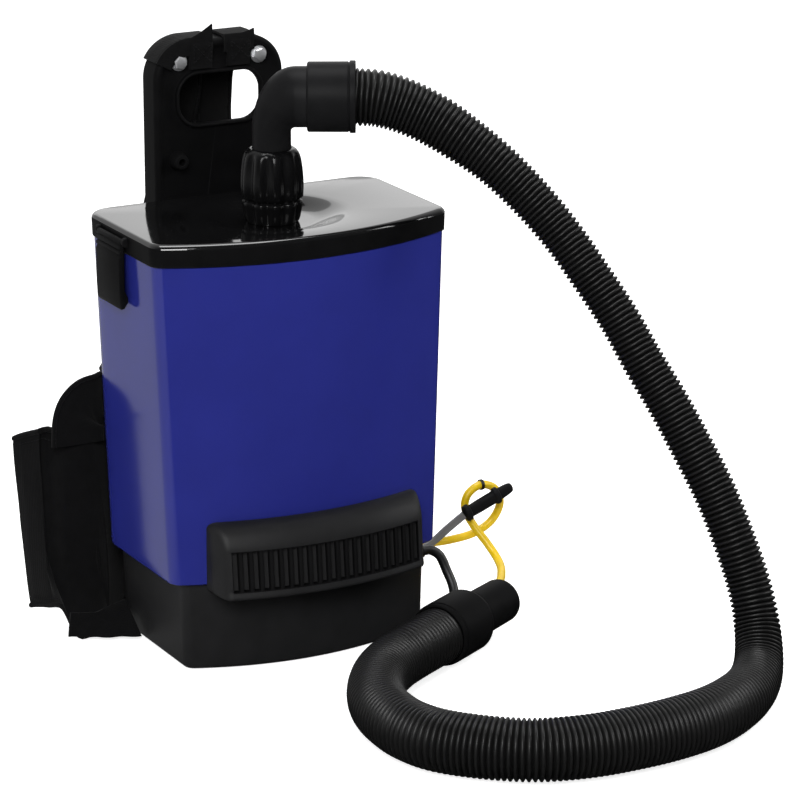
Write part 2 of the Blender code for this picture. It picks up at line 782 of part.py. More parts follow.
def make_inlet(black):
    """The fluted collar in the lid's dish, and the elbow and cuff that turn in it."""
    foot = LID_TOP - DISH_DEPTH + GAP
    shape = [(foot, -0.0046), (foot + 0.004, -0.0033), (foot + 0.013, -0.0016), (foot + 0.0185, -0.0008),
             (foot + 0.0200, -0.0028), (foot + 0.0215, -0.0006), (foot + 0.030, 0.0), (foot + 0.042, -0.0003),
             (foot + 0.054, -0.0016), (COLLAR_TOP - 0.0035, -0.0038), (COLLAR_TOP, -0.0068)]
    steps = 6
    count = COLLAR_LOBES * steps
    rings = []
    for height, less in shape:
        ring = []
        for i, (x, y, z) in enumerate(circle(COLLAR_RADIUS + less, height, count)):
            valley = LOBE_DEPTH * (0.5 - 0.5 * math.cos(math.tau * i / steps)) ** 1.6
            share = 1 - valley / COLLAR_RADIUS
            ring.append((x * share, y * share, z))
        rings.append(ring)
    bore = NECK_RADIUS + SLIDE_FIT
    rings.append(circle(bore, COLLAR_TOP, count))
    rings.append(circle(bore, NECK_FOOT - SLIDE_FIT, count))
    rings.append(circle(INLET_RADIUS, NECK_FOOT - SLIDE_FIT, count))
    rings.append(circle(INLET_RADIUS, foot, count))
    loft("swivel_collar", rings, black, closed=True, at=(0, INLET_Y, 0))

    axis = joint_empty("elbow_axis", (0, INLET_Y, ARM_HEIGHT))
    bend_x = NECK_RADIUS + ELBOW_INNER_BEND
    bend_z = ARM_HEIGHT - ARM_RADIUS - ELBOW_INNER_BEND
    sections = [((0, NECK_FOOT), (-NECK_RADIUS, 0), NECK_RADIUS)]
    for i in range(9):
        t = math.pi / 2 * i / 8
        inner = (bend_x - ELBOW_INNER_BEND * math.cos(t), bend_z + ELBOW_INNER_BEND * math.sin(t))
        outer = (
            bend_x - (ELBOW_INNER_BEND + 2 * NECK_RADIUS) * math.cos(t),
            bend_z + (ELBOW_INNER_BEND + 2 * ARM_RADIUS) * math.sin(t),
        )
        middle = ((inner[0] + outer[0]) / 2, (inner[1] + outer[1]) / 2)
        half = ((outer[0] - inner[0]) / 2, (outer[1] - inner[1]) / 2)
        sections.append((middle, half, mix(NECK_RADIUS, ARM_RADIUS, i / 8)))
    sections.append(((ARM_END, ARM_HEIGHT), (0, ARM_RADIUS), ARM_RADIUS))
    outside = [elbow_ring(*section, 0.0) for section in sections]
    inside = [elbow_ring(*section, ELBOW_WALL) for section in reversed(sections)]
    elbow = loft("hose_elbow", outside + inside, black, closed=True, turn=ARM_ANGLE, at=(0, INLET_Y, 0))
    socket = ARM_RADIUS + SLIDE_FIT
    bore = 0.021
    cuff = turned(
        "hose_cuff",
        [(CUFF_START, CUFF_RADIUS - 0.0015), (CUFF_START + 0.002, CUFF_RADIUS),
         (CUFF_END - 0.0065, CUFF_RADIUS), (CUFF_END - 0.006, CUFF_RADIUS + CUFF_BEAD),
         (CUFF_END - 0.001, CUFF_RADIUS + CUFF_BEAD),
         (CUFF_END, CUFF_RADIUS), (CUFF_END, bore), (ARM_END + SLIDE_FIT, bore),
         (ARM_END + SLIDE_FIT, socket), (CUFF_START, socket)],
        black, axis="X", turn=ARM_ANGLE, at=(0, INLET_Y, ARM_HEIGHT),
    )
    for piece in (elbow, cuff):
        piece.parent = axis
        piece.matrix_parent_inverse = Matrix.Translation(axis.location).inverted()


def elbow_ring(middle, half, depth, wall):
    """One oval section of the elbow, drawn in by a wall."""
    size = math.hypot(*half)
    share = (size - wall) / size
    points = []
    for i in range(20):
        t = math.tau * i / 20
        reach = math.cos(t) * share
        out = (depth - wall) * math.sin(t)
        points.append((middle[0] + half[0] * reach, out, middle[1] + half[1] * reach))
    return points


def make_hose(rubber, black):
    """The ribbed hose with its bore, and the cuff and wand connector on its end."""
    along = Vector((math.cos(ARM_ANGLE), math.sin(ARM_ANGLE), 0))
    start = Vector((0, INLET_Y, ARM_HEIGHT)) + along * (CUFF_END + 2 * GAP)
    lead_in = []
    for i in range(6):
        share = i / 5
        sag = Vector((0, 0, HOSE_SAG * share**3))
        lead_in.append((*(start + along * HOSE_LEAD * share - sag), mix(0.0250, 0.0240, share**3)))
    away = Vector((math.cos(END_ANGLE), math.sin(END_ANGLE), 0))
    finish = Vector(END_CUFF_AT)
    lead_out = [(*(finish - away * reach), 0.0252) for reach in (0.045, 0.022, GAP)]
    route = lead_in + HOSE_ROUTE + lead_out
    length = np.linalg.norm(np.diff(smooth_route(route, 0.005)[:, :3], axis=0), axis=1).sum()
    print(f"hose: {length:.3f} m long, {HOSE_RIBS} ribs")
    stations = smooth_route(route, length / (2 * HOSE_RIBS))
    outside = hose_rings(stations, lambda i, radius: radius - RIB_DEPTH * (i % 2))
    bored = stations[:: 5]
    if len(stations) % 5 != 1:
        bored = np.vstack([bored, stations[-1]])
    inside = hose_rings(bored, lambda i, radius: radius * HOSE_BORE_SHARE)
    loft("hose", outside + inside[::-1], rubber, closed=True, smooth=60)

    turned(
        "hose_end_cuff",
        [(0, END_CUFF_RADIUS - 0.0015), (0.002, END_CUFF_RADIUS), (END_CUFF_LENGTH - 0.007, END_CUFF_RADIUS),
         (END_CUFF_LENGTH, END_CUFF_RADIUS - 0.003), (END_CUFF_LENGTH, CONNECTOR_RADIUS + GAP),
         (END_CUFF_LENGTH - 0.010, CONNECTOR_RADIUS + GAP), (END_CUFF_LENGTH - 0.010, 0.0195), (0, 0.0195)],
        black, axis="X", turn=END_ANGLE, at=END_CUFF_AT,
    )
    inner = CONNECTOR_RADIUS - 0.003
    seat = END_CUFF_LENGTH - 0.010 + GAP
    turned(
        "wand_connector",
        [(seat, CONNECTOR_RADIUS), (CONNECTOR_REACH - 0.004, CONNECTOR_RADIUS - 0.0005),
         (CONNECTOR_REACH, CONNECTOR_RADIUS - 0.0015), (CONNECTOR_REACH, inner), (seat, inner)],
        black, axis="X", turn=END_ANGLE, at=END_CUFF_AT,
    )


def hose_rings(stations, size):
    """Eight-sided rings square to the hose's route."""
    rings = []
    for i, (place, (side, up)) in enumerate(zip(stations, frames(stations[:, :3]))):
        radius = size(i, place[3])
        turns = [math.tau * k / HOSE_SIDES for k in range(HOSE_SIDES)]
        rings.append([tuple(place[:3] + radius * (side * math.cos(t) + up * math.sin(t))) for t in turns])
    return rings


def plate_outline(inset, y):
    """The harness frame's upright outline: straight sides, round shoulders and small lower corners."""
    top = PLATE_TOP - inset
    low = PLATE_BOTTOM + inset
    half = PLATE_HALF_WIDTH - inset
    upper = PLATE_TOP_HALF_WIDTH - inset
    shoulder = PLATE_SHOULDER - inset * 0.5
    foot = 0.012 - inset * 0.5
    right = []
    for i in range(5):
        t = math.radians(-90 + 22.5 * i)
        right.append((half - foot + foot * math.cos(t), low + foot + foot * math.sin(t)))
    for i in range(7):
        t = math.radians(15 * i)
        right.append((upper - shoulder + shoulder * math.cos(t), top - shoulder + shoulder * math.sin(t)))
    left = [(-x, z) for x, z in reversed(right)]
    return [(x, y, z) for x, z in right + left]


def rounded_slot(half_width, half_height, corner, height, y):
    """A round-cornered opening's outline in the plane of the plate."""
    points = []
    for quarter, (sx, sz) in enumerate(((1, 1), (-1, 1), (-1, -1), (1, -1))):
        for i in range(6):
            t = math.radians(90 * quarter + 18 * i)
            x = sx * (half_width - corner) + corner * math.cos(t)
            z = sz * (half_height - corner) + corner * math.sin(t)
            points.append((x, y, height + z))
    return points


def make_frame(black, chrome):
    """The back plate with its flanges and hand grip, and what bolts it to the body."""
    inside = PLATE_FRONT + PLATE_SKIN
    rings = [
        (0.002, PLATE_FRONT),
        (0, PLATE_FRONT + 0.002),
        (0, PLATE_BACK - 0.001),
        (0.001, PLATE_BACK),
        (FLANGE_WALL, PLATE_BACK),
        (FLANGE_WALL, inside),
    ]
    plate = loft("back_plate", [plate_outline(inset, y) for inset, y in rings], black)
    grip = (GRIP_HALF_WIDTH, GRIP_HALF_HEIGHT, GRIP_CORNER)
    rim = [value + GRIP_RIM for value in grip]
    lip = (PLATE_FRONT + 0.001, PLATE_FRONT - 0.004)
    raised = loft("grip_rim", [rounded_slot(*rim, GRIP_HEIGHT, y) for y in lip], None)
    cut(plate, raised, "UNION")
    for side in (-1, 1):
        for height in BOSS_HEIGHTS:
            boss = turned(
                f"boss_{side}_{height:.3f}", [(-0.001, 0.0085), (0.0100, 0.0065)], None,
                count=16, closed=False,
            )
            boss.rotation_euler = (math.pi / 2, 0, 0)
            boss.location = (side * BOSS_X, PLATE_FRONT, height)
            cut(plate, boss, "UNION")
    through = (inside + 0.01, PLATE_FRONT - 0.02)
    cut(plate, loft("grip_cutter", [rounded_slot(*grip, GRIP_HEIGHT, y) for y in through], None))

    for side, name in ((-1, "left"), (1, "right")):
        bolt = turned(
            f"strap_bolt_{name}",
            [(0.0065, 0.0030), (0.0055, 0.0055), (0.0025, BOLT_HEAD_RADIUS), (0.0, BOLT_HEAD_RADIUS)],
            chrome, count=16, closed=False,
        )
        bolt.rotation_euler = (math.pi / 2, 0, 0)
        bolt.location = (side * BOLT_X, PLATE_FRONT - GAP, BOLT_Z)
        for place, height in (("lower", STANDOFF_LOW), ("upper", STANDOFF_HIGH)):
            length = PLATE_FRONT - BODY_BACK - 2 * GAP
            standoff = turned(
                f"standoff_{place}_{name}",
                [(length, STANDOFF_RADIUS), (length - 0.004, STANDOFF_RADIUS - 0.002),
                 (0.004, STANDOFF_RADIUS - 0.002), (0.0, STANDOFF_RADIUS)],
                black, count=16, closed=False,
            )
            standoff.rotation_euler = (math.pi / 2, 0, 0)
            standoff.location = (side * STANDOFF_X, PLATE_FRONT - GAP, height)


def make_straps(webbing, padding):
    """Webbing loops over the top bar, shoulder straps and the waist belt's two wings."""
    half = WEB_THICKNESS / 2
    front = PLATE_FRONT - WEB_SLACK - half
    back = PLATE_BACK + WEB_SLACK + half
    top = PLATE_TOP + WEB_SLACK + half
    turn = WEB_THICKNESS * 0.6
    tail = GRIP_HEIGHT + GRIP_HALF_HEIGHT + GRIP_RIM + 0.001
    loop = [
        (front, tail),
        (front, mix(tail, top, 0.5)),
        (front, top - turn),
        (front + turn, top),
        ((front + back) / 2, top),
        (back - turn, top),
        (back, top - turn),
        (back, PLATE_TOP - 0.015),
        (back, PLATE_TOP - 0.036),
    ]
    for side, name in ((-1, "left"), (1, "right")):
        path = [(side * LOOP_SPACING, y, z) for y, z in loop]
        ribbon(f"strap_loop_{name}", path, [(1, 0, 0)] * len(path), WEB_WIDTH, WEB_THICKNESS, webbing)
    for name, route in (("left", LEFT_STRAP_ROUTE), ("right", RIGHT_STRAP_ROUTE)):
        route = [
            (x, PLATE_BACK + behind, mix(PLATE_TOP, BELT_HEAD, down), turn) for x, behind, down, turn in route
        ]
        path = smooth_route(route, 0.022)
        across = [(math.cos(turn * math.pi / 2), -math.sin(turn * math.pi / 2), 0) for turn in path[:, 3]]
        ribbon(f"shoulder_strap_{name}", path[:, :3], across, STRAP_WIDTH, STRAP_THICKNESS, padding)
    left_wing = [
        # x, y at the foot, y at the head, foot height and how far the head lies under the belt's own
        (-PLATE_HALF_WIDTH - 2 * GAP, BELT_ROOT_Y, BELT_ROOT_Y, 0.020, 0.010),
        (-0.0950, 0.1000, 0.1020, 0.014, 0.004),
        (-0.1250, 0.0760, 0.0960, 0.006, 0.001),
        (-0.1450, 0.0480, 0.0850, 0.004, 0.0),
        (-0.1600, 0.0450, 0.0760, 0.004, 0.0),
        (-0.1680, 0.0500, 0.0800, 0.004, 0.003),
        (-0.1720, 0.0740, 0.0920, 0.022, 0.005),
        (-0.1800, 0.1000, 0.1080, 0.017, 0.011),
        (-0.1880, 0.1190, 0.1220, 0.012, 0.017),
        (-0.1940, 0.1280, 0.1300, 0.009, 0.022),
    ]
    right_wing = [
        (PLATE_HALF_WIDTH + 2 * GAP, BELT_ROOT_Y, BELT_ROOT_Y, 0.020, 0.010),
        (0.0950, 0.113, 0.113, 0.018, 0.004),
        (0.1180, 0.130, 0.130, 0.018, 0.002),
        (0.1310, 0.156, 0.156, 0.026, 0.002),
        (0.1360, 0.188, 0.188, 0.034, 0.004),
    ]
    for name, wing in (("left", left_wing), ("right", right_wing)):
        belt_wing(f"waist_belt_{name}", wing, padding)


def belt_wing(name, columns, padding):
    """A padded wing: crowned between its drawn-in edges, over upright columns from root to tip."""
    path = np.array([(x, (foot + head) / 2) for x, foot, head, _, _ in columns])
    tangents = np.gradient(path, axis=0)
    rings = []
    for i, (x, foot_y, head_y, foot, under) in enumerate(columns):
        normal = np.array((-tangents[i][1], tangents[i][0]))
        normal /= np.linalg.norm(normal)
        swell = 0.55 if i in (0, len(columns) - 1) else 1.0
        front, back = [], []
        for share in (0.0, 0.06, 0.3, 0.5, 0.7, 0.94, 1.0):
            crown = BELT_THICKNESS / 2 * swell * (0.35 + 0.65 * math.sin(math.pi * share) ** 0.5)
            drawn_in = WING_TAPER * max(0.0, abs(x) - WING_FOLD) * (1 - share)
            middle = np.array((x - math.copysign(drawn_in, x), mix(foot_y, head_y, share)))
            height = mix(foot, BELT_HEAD - under, share)
            front.append((*(middle + normal * crown), height))
            back.append((*(middle - normal * crown), height))
        rings.append(front + back[::-1])
    return loft(name, rings, padding)


def gland(name, y, z, cord_radius, finish):
    """A tapered strain relief on the base's right side, and the place where its cord starts."""
    face = base_side(z) + 2 * GAP
    bore = cord_radius + GLAND_FIT
    turned(
        name,
        [(0, 0.0085), (0.004, 0.0085), (0.005, 0.0065), (GLAND_LENGTH, bore + 0.0012),
         (GLAND_LENGTH, bore), (GLAND_LENGTH - GLAND_SEAT, bore)],
        finish, count=16, closed=False, axis="X", at=(face, y, z),
    )
    return Vector((face + GLAND_LENGTH - GLAND_SEAT + GAP, y, z))


def make_cords(yellow, black, rubber, steel):
    """The power cord with its plug and the hook that holds it, and the lead to the hand switch."""
    start = gland("power_cord_gland", *POWER_GLAND_AT, POWER_CORD_RADIUS, black)
    inlet = Vector(PLUG_AT)
    away = Vector((math.cos(PLUG_ANGLE), math.sin(PLUG_ANGLE), 0))
    ends = [tuple(inlet - away * reach) for reach in (0.014, 0.007, GAP)]
    route = [tuple(start), tuple(start + Vector((0.012, 0.0, -0.0005)))] + POWER_ROUTE + ends
    cord("power_cord", route, POWER_CORD_RADIUS, yellow)
    plug = turned(
        "power_plug",
        [(0, POWER_CORD_RADIUS + 0.001), (0.010, 0.0060), (0.014, PLUG_RADIUS), (0.034, PLUG_RADIUS),
         (0.036, PLUG_RADIUS - 0.001)],
        yellow, count=16, closed=False, axis="X", at=PLUG_AT, turn=PLUG_ANGLE,
    )
    for i, (offset, rise) in enumerate(((-0.0055, 0.0035), (0.0055, 0.0035), (0.0, -0.0050))):
        pin = add_object(
            f"pin_{i}",
            block_bmesh((0.034, offset - 0.0009, rise - 0.0022), (0.052, offset + 0.0009, rise + 0.0022)),
            None, at=PLUG_AT, turn=PLUG_ANGLE,
        )
        cut(plug, pin, "UNION")

    start = gland("switch_lead_gland", *LEAD_GLAND_AT, SWITCH_LEAD_RADIUS, black)
    width, depth, height = SWITCH_SIZE
    entry = Vector((SWITCH_AT[0] + 0.004, SWITCH_AT[1] + depth / 2 + GAP, height / 2))
    ends = [tuple(entry + Vector((0, reach, 0))) for reach in (0.014, 0.007, GAP)]
    route = [tuple(start), tuple(start + Vector((0.009, 0.0, 0.0)))] + LEAD_ROUTE + ends
    cord("switch_lead", route, SWITCH_LEAD_RADIUS, rubber)
    low = (SWITCH_AT[0] - width / 2, SWITCH_AT[1] - depth / 2, 0.0002)
    high = (SWITCH_AT[0] + width / 2, SWITCH_AT[1] + depth / 2, height)
    box = soft_block("switch_box", low, high, black, 0.0025)
    well = add_object(
        "rocker_well",
        block_bmesh((SWITCH_AT[0] - 0.0058, SWITCH_AT[1] - 0.0098, height - 0.005),
                    (SWITCH_AT[0] + 0.0058, SWITCH_AT[1] + 0.0098, height + 0.004)),
        None,
    )
    cut(box, well)
    axis = joint_empty("rocker_axis", (*SWITCH_AT, height - 0.0012))
    tilt = 0.0016
    profile = [(-0.0090, height + tilt), (0.0, height + 0.0004), (0.0090, height + tilt),
               (0.0086, height - 0.0016), (0.0, height - 0.0044), (-0.0086, height - 0.0016)]
    rocker = loft(
        "switch_rocker",
        [[(SWITCH_AT[0] + x, SWITCH_AT[1] + y, z) for y, z in profile] for x in (-0.0053, 0.0053)],
        steel,
    )
    rocker.parent = axis
    rocker.matrix_parent_inverse = Matrix.Translation(axis.location).inverted()

    foot_y, foot_z = HOOK_STRIP_ROUTE[0][1] - 0.003, HOOK_STRIP_ROUTE[0][2] + 0.002
    face = base_side(foot_z) + 2 * GAP
    low = (face, foot_y - 0.008, foot_z - 0.009)
    high = (face + 0.007, foot_y + 0.006, foot_z + 0.009)
    soft_block("hook_mount", low, high, black, 0.0015)
    first = (face + 0.007 + 2 * GAP, foot_y, foot_z)
    forward = (Vector(HOOK_TIP) - Vector(HOOK_FOOT)).normalized()
    last = Vector(HOOK_FOOT) - forward * (3 * GAP)
    path = smooth_route([first] + HOOK_STRIP_ROUTE + [tuple(last)], 0.012)
    ribbon("hook_strip", path, [(0, 0, 1)] * len(path), 0.008, 0.0026, rubber)
    make_hook(black)


def make_hook(black):
    """The moulded cord hook at the strip's end: a bar with a ringed foot and a rounded, raised tip."""
    foot, tip = Vector(HOOK_FOOT), Vector(HOOK_TIP)
    run = tip - foot
    length = run.length
    sections = [
        # distance from the foot, half height and half depth
        (GAP, 0.0078, 0.0060),
        (0.006, 0.0084, 0.0060),
        (0.0065, 0.0060, 0.0042),
        (0.016, 0.0066, 0.0042),
        (0.034, 0.0066, 0.0042),
        (0.0345, 0.0084, 0.0054),
        (0.039, 0.0084, 0.0054),
        (0.0395, 0.0060, 0.0042),
        (length - 0.003, 0.0050, 0.0040),
        (length, 0.0030, 0.0024),
    ]
    forward = run.normalized()
    side = Vector((0, 1, 0))
    up = forward.cross(side) * -1
    rings = []
    for along, tall, deep in sections:
        middle = foot + forward * along
        rings.append([
            tuple(middle + up * tall * math.cos(t) + side * deep * math.sin(t))
            for t in (math.tau * k / 12 for k in range(12))
        ])
    loft("cord_hook", rings, black)


def main():
    clear_scene()
    blue = material("glossy_blue_shell", (0.020, 0.024, 0.235), 0.12)
    gloss_black = material("glossy_black_lid", (0.006, 0.006, 0.007), 0.08)
    black = material("matt_black_moulding", (0.016, 0.016, 0.017), 0.5)
    rubber = material("black_hose_vinyl", (0.012, 0.012, 0.012), 0.45)
    webbing = material("black_webbing", (0.012, 0.012, 0.013), 0.85)
    padding = material("black_padding", (0.020, 0.020, 0.022), 0.9)
    foam = material("grey_foam", (0.10, 0.10, 0.10), 0.95)
    paper = material("bag_paper", (0.55, 0.47, 0.36), 0.9)
    steel = material("motor_steel", (0.45, 0.45, 0.46), 0.35, 0.9)
    chrome = material("chrome_bolt", (0.80, 0.80, 0.82), 0.12, 1.0)
    yellow = material("yellow_cord", (0.72, 0.52, 0.015), 0.4)
    shell, base, lid = make_body(blue, black, foam, paper, steel)
    lid.data.materials[0] = gloss_black
    make_vent(black, foam)
    make_latches(gloss_black)
    make_inlet(gloss_black)
    make_hose(rubber, black)
    make_frame(black, chrome)
    make_straps(webbing, padding)
    make_cords(yellow, black, rubber, steel)


main()
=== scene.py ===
"""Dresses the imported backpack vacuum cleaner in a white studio: tub, lid, hose, harness and cords."""

import json
import math

import bmesh
import bpy
import numpy as np
from mathutils import Matrix, Vector, noise

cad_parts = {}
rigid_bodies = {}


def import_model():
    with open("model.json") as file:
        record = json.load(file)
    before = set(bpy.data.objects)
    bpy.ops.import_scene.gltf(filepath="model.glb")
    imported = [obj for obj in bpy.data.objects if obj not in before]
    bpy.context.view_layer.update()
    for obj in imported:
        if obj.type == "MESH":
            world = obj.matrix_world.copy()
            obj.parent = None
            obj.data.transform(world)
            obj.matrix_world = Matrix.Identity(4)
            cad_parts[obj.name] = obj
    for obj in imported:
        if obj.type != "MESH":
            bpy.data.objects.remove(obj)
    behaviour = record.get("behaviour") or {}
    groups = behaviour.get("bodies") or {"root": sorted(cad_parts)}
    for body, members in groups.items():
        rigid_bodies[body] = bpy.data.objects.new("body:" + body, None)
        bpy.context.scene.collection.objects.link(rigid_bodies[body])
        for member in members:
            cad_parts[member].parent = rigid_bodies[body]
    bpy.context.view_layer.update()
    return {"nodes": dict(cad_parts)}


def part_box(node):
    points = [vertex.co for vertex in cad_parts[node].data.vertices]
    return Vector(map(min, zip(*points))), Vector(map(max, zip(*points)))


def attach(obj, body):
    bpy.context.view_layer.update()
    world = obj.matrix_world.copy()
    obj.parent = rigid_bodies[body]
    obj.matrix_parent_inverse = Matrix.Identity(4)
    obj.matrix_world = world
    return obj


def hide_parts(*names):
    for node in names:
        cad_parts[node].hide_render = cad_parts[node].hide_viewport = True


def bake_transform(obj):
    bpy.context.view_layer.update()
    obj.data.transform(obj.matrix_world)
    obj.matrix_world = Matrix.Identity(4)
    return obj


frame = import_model()

bl_info = {
    "name": "Backpack Vacuum Cleaner",
    "version": (1, 0, 0),
    "blender": (4, 5, 0),
    "location": "View3D > Sidebar > Vacuum",
    "description": "Builds the looks of a backpack vacuum cleaner around its packed solids",
    "category": "Object",
}

# The camera, fitted to the edges in the photograph.
CAMERA_AT = (-1.39054, -2.81461, 1.17224)
CAMERA_TURN = math.radians(28.40)
CAMERA_RISE = math.radians(17.02)
CAMERA_LENS = 166.5

# Places of the solids, in metres. The tub is a D in plan that narrows towards the base.
GAP = 0.0004
LID_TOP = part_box("lid")[1].z
LID_RIM = 0.020
LID_WALL = 0.004
BASE_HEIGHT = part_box("base_housing")[1].z
BASE_INSET = 0.002
BASE_SIDE_INSET = 0.008
HALF_WIDTHS = (0.1273, 0.1407)
FRONTS = (-0.0700, -0.0665)
BOWS = (0.0265, 0.0362)
TUB_BACK = 0.0755
INLET_Y = -0.009
INLET_BORE = 0.0170
COLLAR_TOP = 0.443
COLLAR_RADIUS = 0.0278
VALLEY_DEPTH = 0.0030
DISH_RADIUS = 0.068
DISH_FLAT = 0.036
DISH_FLOOR = LID_TOP - 0.008
ARM_HEIGHT = 0.488
ARM_ANGLE = math.radians(-28.4)
CUFF_END = 0.073
END_CUFF_AT = (0.079, -0.167, 0.0300)
END_ANGLE = math.radians(29.5)
VENT_HALF = 0.1025
VENT_PLAIN_END = 0.010
SLATS_FOOT = 0.0805
SLATS_HEAD = 0.1165
LATCH_AXIS = (0.144688, 0.0125, 0.377)
LATCH_START = -0.012
LATCH_LENGTH = 0.049

# The harness plate stands behind the tub; its flanges turn back towards the wearer.
PLATE_FRONT = 0.095
PLATE_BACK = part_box("back_plate")[1].y
PLATE_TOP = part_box("back_plate")[1].z
PLATE_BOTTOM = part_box("back_plate")[0].z
PLATE_HALF = 0.0640
PLATE_TOP_HALF = 0.0630
PLATE_SHOULDER = 0.034
PLATE_FOOT = 0.012
GRIP_HEIGHT = PLATE_TOP - 0.0525
GRIP = (0.040, 0.0225, 0.019)
BOSS_X = 0.0415
BOSS_HEIGHTS = (0.4145, 0.3515)
BOLT_X = 0.039
BOLT_HEIGHT = 0.503
LOOP_SPACING = 0.0185
SIDES = ((-1, "left"), (1, "right"))

# The hose's middle line and outer radius from the elbow's cuff to the end cuff.
HOSE_ROUTE = [
    (0.118, -0.0758, 0.4706, 0.0235),
    (0.135, -0.091, 0.458, 0.0225),
    (0.161, -0.115, 0.434, 0.0205),
    (0.184, -0.139, 0.405, 0.0195),
    (0.203, -0.162, 0.374, 0.0187),
    (0.219, -0.184, 0.341, 0.0185),
    (0.234, -0.206, 0.307, 0.0185),
    (0.247, -0.227, 0.271, 0.0188),
    (0.260, -0.248, 0.237, 0.0190),
    (0.272, -0.269, 0.201, 0.0192),
    (0.283, -0.289, 0.165, 0.0192),
    (0.291, -0.308, 0.127, 0.0192),
    (0.297, -0.325, 0.088, 0.0195),
    (0.295, -0.342, 0.055, 0.0202),
    (0.282, -0.364, 0.033, 0.0215),
    (0.258, -0.390, 0.0265, 0.0232),
    (0.225, -0.415, 0.0265, 0.0248),
    (0.189, -0.432, 0.0268, 0.0258),
    (0.150, -0.440, 0.0270, 0.0262),
    (0.110, -0.442, 0.0270, 0.0262),
    (0.069, -0.439, 0.0270, 0.0262),
    (0.029, -0.427, 0.0270, 0.0262),
    (-0.004, -0.404, 0.0270, 0.0262),
    (-0.032, -0.372, 0.0270, 0.0262),
    (-0.043, -0.341, 0.0268, 0.0260),
    (-0.0445, -0.312, 0.0268, 0.0258),
    (-0.040, -0.282, 0.0268, 0.0255),
    (-0.027, -0.251, 0.0268, 0.0252),
    (-0.007, -0.222, 0.0272, 0.0252),
    (0.016, -0.202, 0.0282, 0.0252),
]
POWER_ROUTE = [
    (0.1426, 0.048, 0.0450),
    (0.1546, 0.048, 0.0445),
    (0.168, 0.060, 0.036),
    (0.188, 0.069, 0.027),
    (0.208, 0.075, 0.021),
    (0.232, 0.079, 0.019),
    (0.256, 0.081, 0.021),
    (0.274, 0.080, 0.031),
    (0.281, 0.077, 0.048),
    (0.274, 0.075, 0.064),
    (0.258, 0.073, 0.071),
    (0.244, 0.0730, 0.064),
    (0.240, 0.0720, 0.051),
    (0.245, 0.0660, 0.036),
    (0.253, 0.053, 0.020),
    (0.257, 0.042, 0.009),
    (0.252, 0.024, 0.005),
    (0.241, 0.004, 0.0055),
    (0.230, -0.014, 0.009),
    (0.212, -0.0399, 0.0118),
    (0.2085, -0.0459, 0.0118),
    (0.2052, -0.0517, 0.0118),
]
PLUG_AT = (0.2050, -0.0520, 0.0118)
PLUG_ANGLE = math.radians(240.0)
LEAD_ROUTE = [
    (0.1428, -0.020, 0.0520),
    (0.1518, -0.020, 0.0520),
    (0.160, -0.0235, 0.0460),
    (0.164, -0.029, 0.033),
    (0.166, -0.0365, 0.0215),
    (0.164, -0.044, 0.0125),
    (0.161, -0.0486, 0.009),
    (0.161, -0.0556, 0.009),
    (0.161, -0.0622, 0.009),
]
HOOK_FOOT = (0.233, 0.060, 0.049)
HOOK_TIP = (0.284, 0.060, 0.069)
HOOK_STRIP_ROUTE = [
    (0.1375, 0.031, 0.027),
    (0.145, 0.034, 0.025),
    (0.169, 0.046, 0.023),
    (0.198, 0.060, 0.027),
    (0.216, 0.061, 0.038),
    (0.2322, 0.060, 0.0487),
]
# Middle lines of the shoulder straps, whose faces look towards the wearer.
LEFT_STRAP_ROUTE = [
    (-0.0195, 0.1257, 0.5101),
    (-0.0200, 0.1285, 0.4710),
    (-0.0230, 0.1475, 0.4111),
    (-0.0330, 0.1595, 0.3409),
    (-0.0520, 0.1555, 0.2810),
    (-0.0800, 0.1375, 0.2310),
    (-0.1040, 0.1155, 0.2128),
    (-0.1220, 0.0975, 0.2115),
    (-0.1380, 0.0925, 0.2099),
    (-0.1490, 0.0895, 0.2019),
    (-0.1545, 0.0865, 0.1918),
    (-0.1560, 0.0852, 0.1800),
    (-0.1562, 0.0850, 0.1700),
]
RIGHT_STRAP_ROUTE = [
    (0.0195, 0.1257, 0.5101),
    (0.0175, 0.1327, 0.4929),
    (0.0140, 0.1350, 0.4710),
    (0.0200, 0.1495, 0.4111),
    (0.0300, 0.1615, 0.3323),
    (0.0360, 0.1575, 0.2397),
    (0.0400, 0.1415, 0.1602),
    (0.0420, 0.1270, 0.1006),
]
# Waist belt wings: x, y at the foot, y at the head, foot height and head height of each upright column.
LEFT_WING = [
    (-0.0648, 0.10725, 0.10725, 0.020, 0.180),
    (-0.0950, 0.1000, 0.1020, 0.014, 0.186),
    (-0.1250, 0.0760, 0.0960, 0.006, 0.189),
    (-0.1450, 0.0480, 0.0850, 0.004, 0.190),
    (-0.1600, 0.0450, 0.0760, 0.004, 0.190),
    (-0.1680, 0.0500, 0.0800, 0.004, 0.187),
    (-0.1720, 0.0740, 0.0920, 0.022, 0.185),
    (-0.1800, 0.1000, 0.1080, 0.017, 0.179),
    (-0.1880, 0.1190, 0.1220, 0.012, 0.173),
    (-0.1940, 0.1280, 0.1300, 0.009, 0.168),
]
# Above the left wing's foot, the cloth between the tub and the fold hangs further back: -x, and y there.
HANG_LEFT = (0.125, 0.134, 0.150, 0.1655, 0.176, 0.188)
HANG_BACK = (0.0, 0.084, 0.0900, 0.0963, 0.1060, 0.0)
FOLD_LINE = -0.1700
RIGHT_WING = [
    (0.0648, 0.10725, 0.10725, 0.020, 0.180),
    (0.0950, 0.113, 0.113, 0.018, 0.186),
    (0.1180, 0.130, 0.130, 0.018, 0.188),
    (0.1310, 0.156, 0.156, 0.026, 0.188),
    (0.1360, 0.188, 0.188, 0.034, 0.186),
]


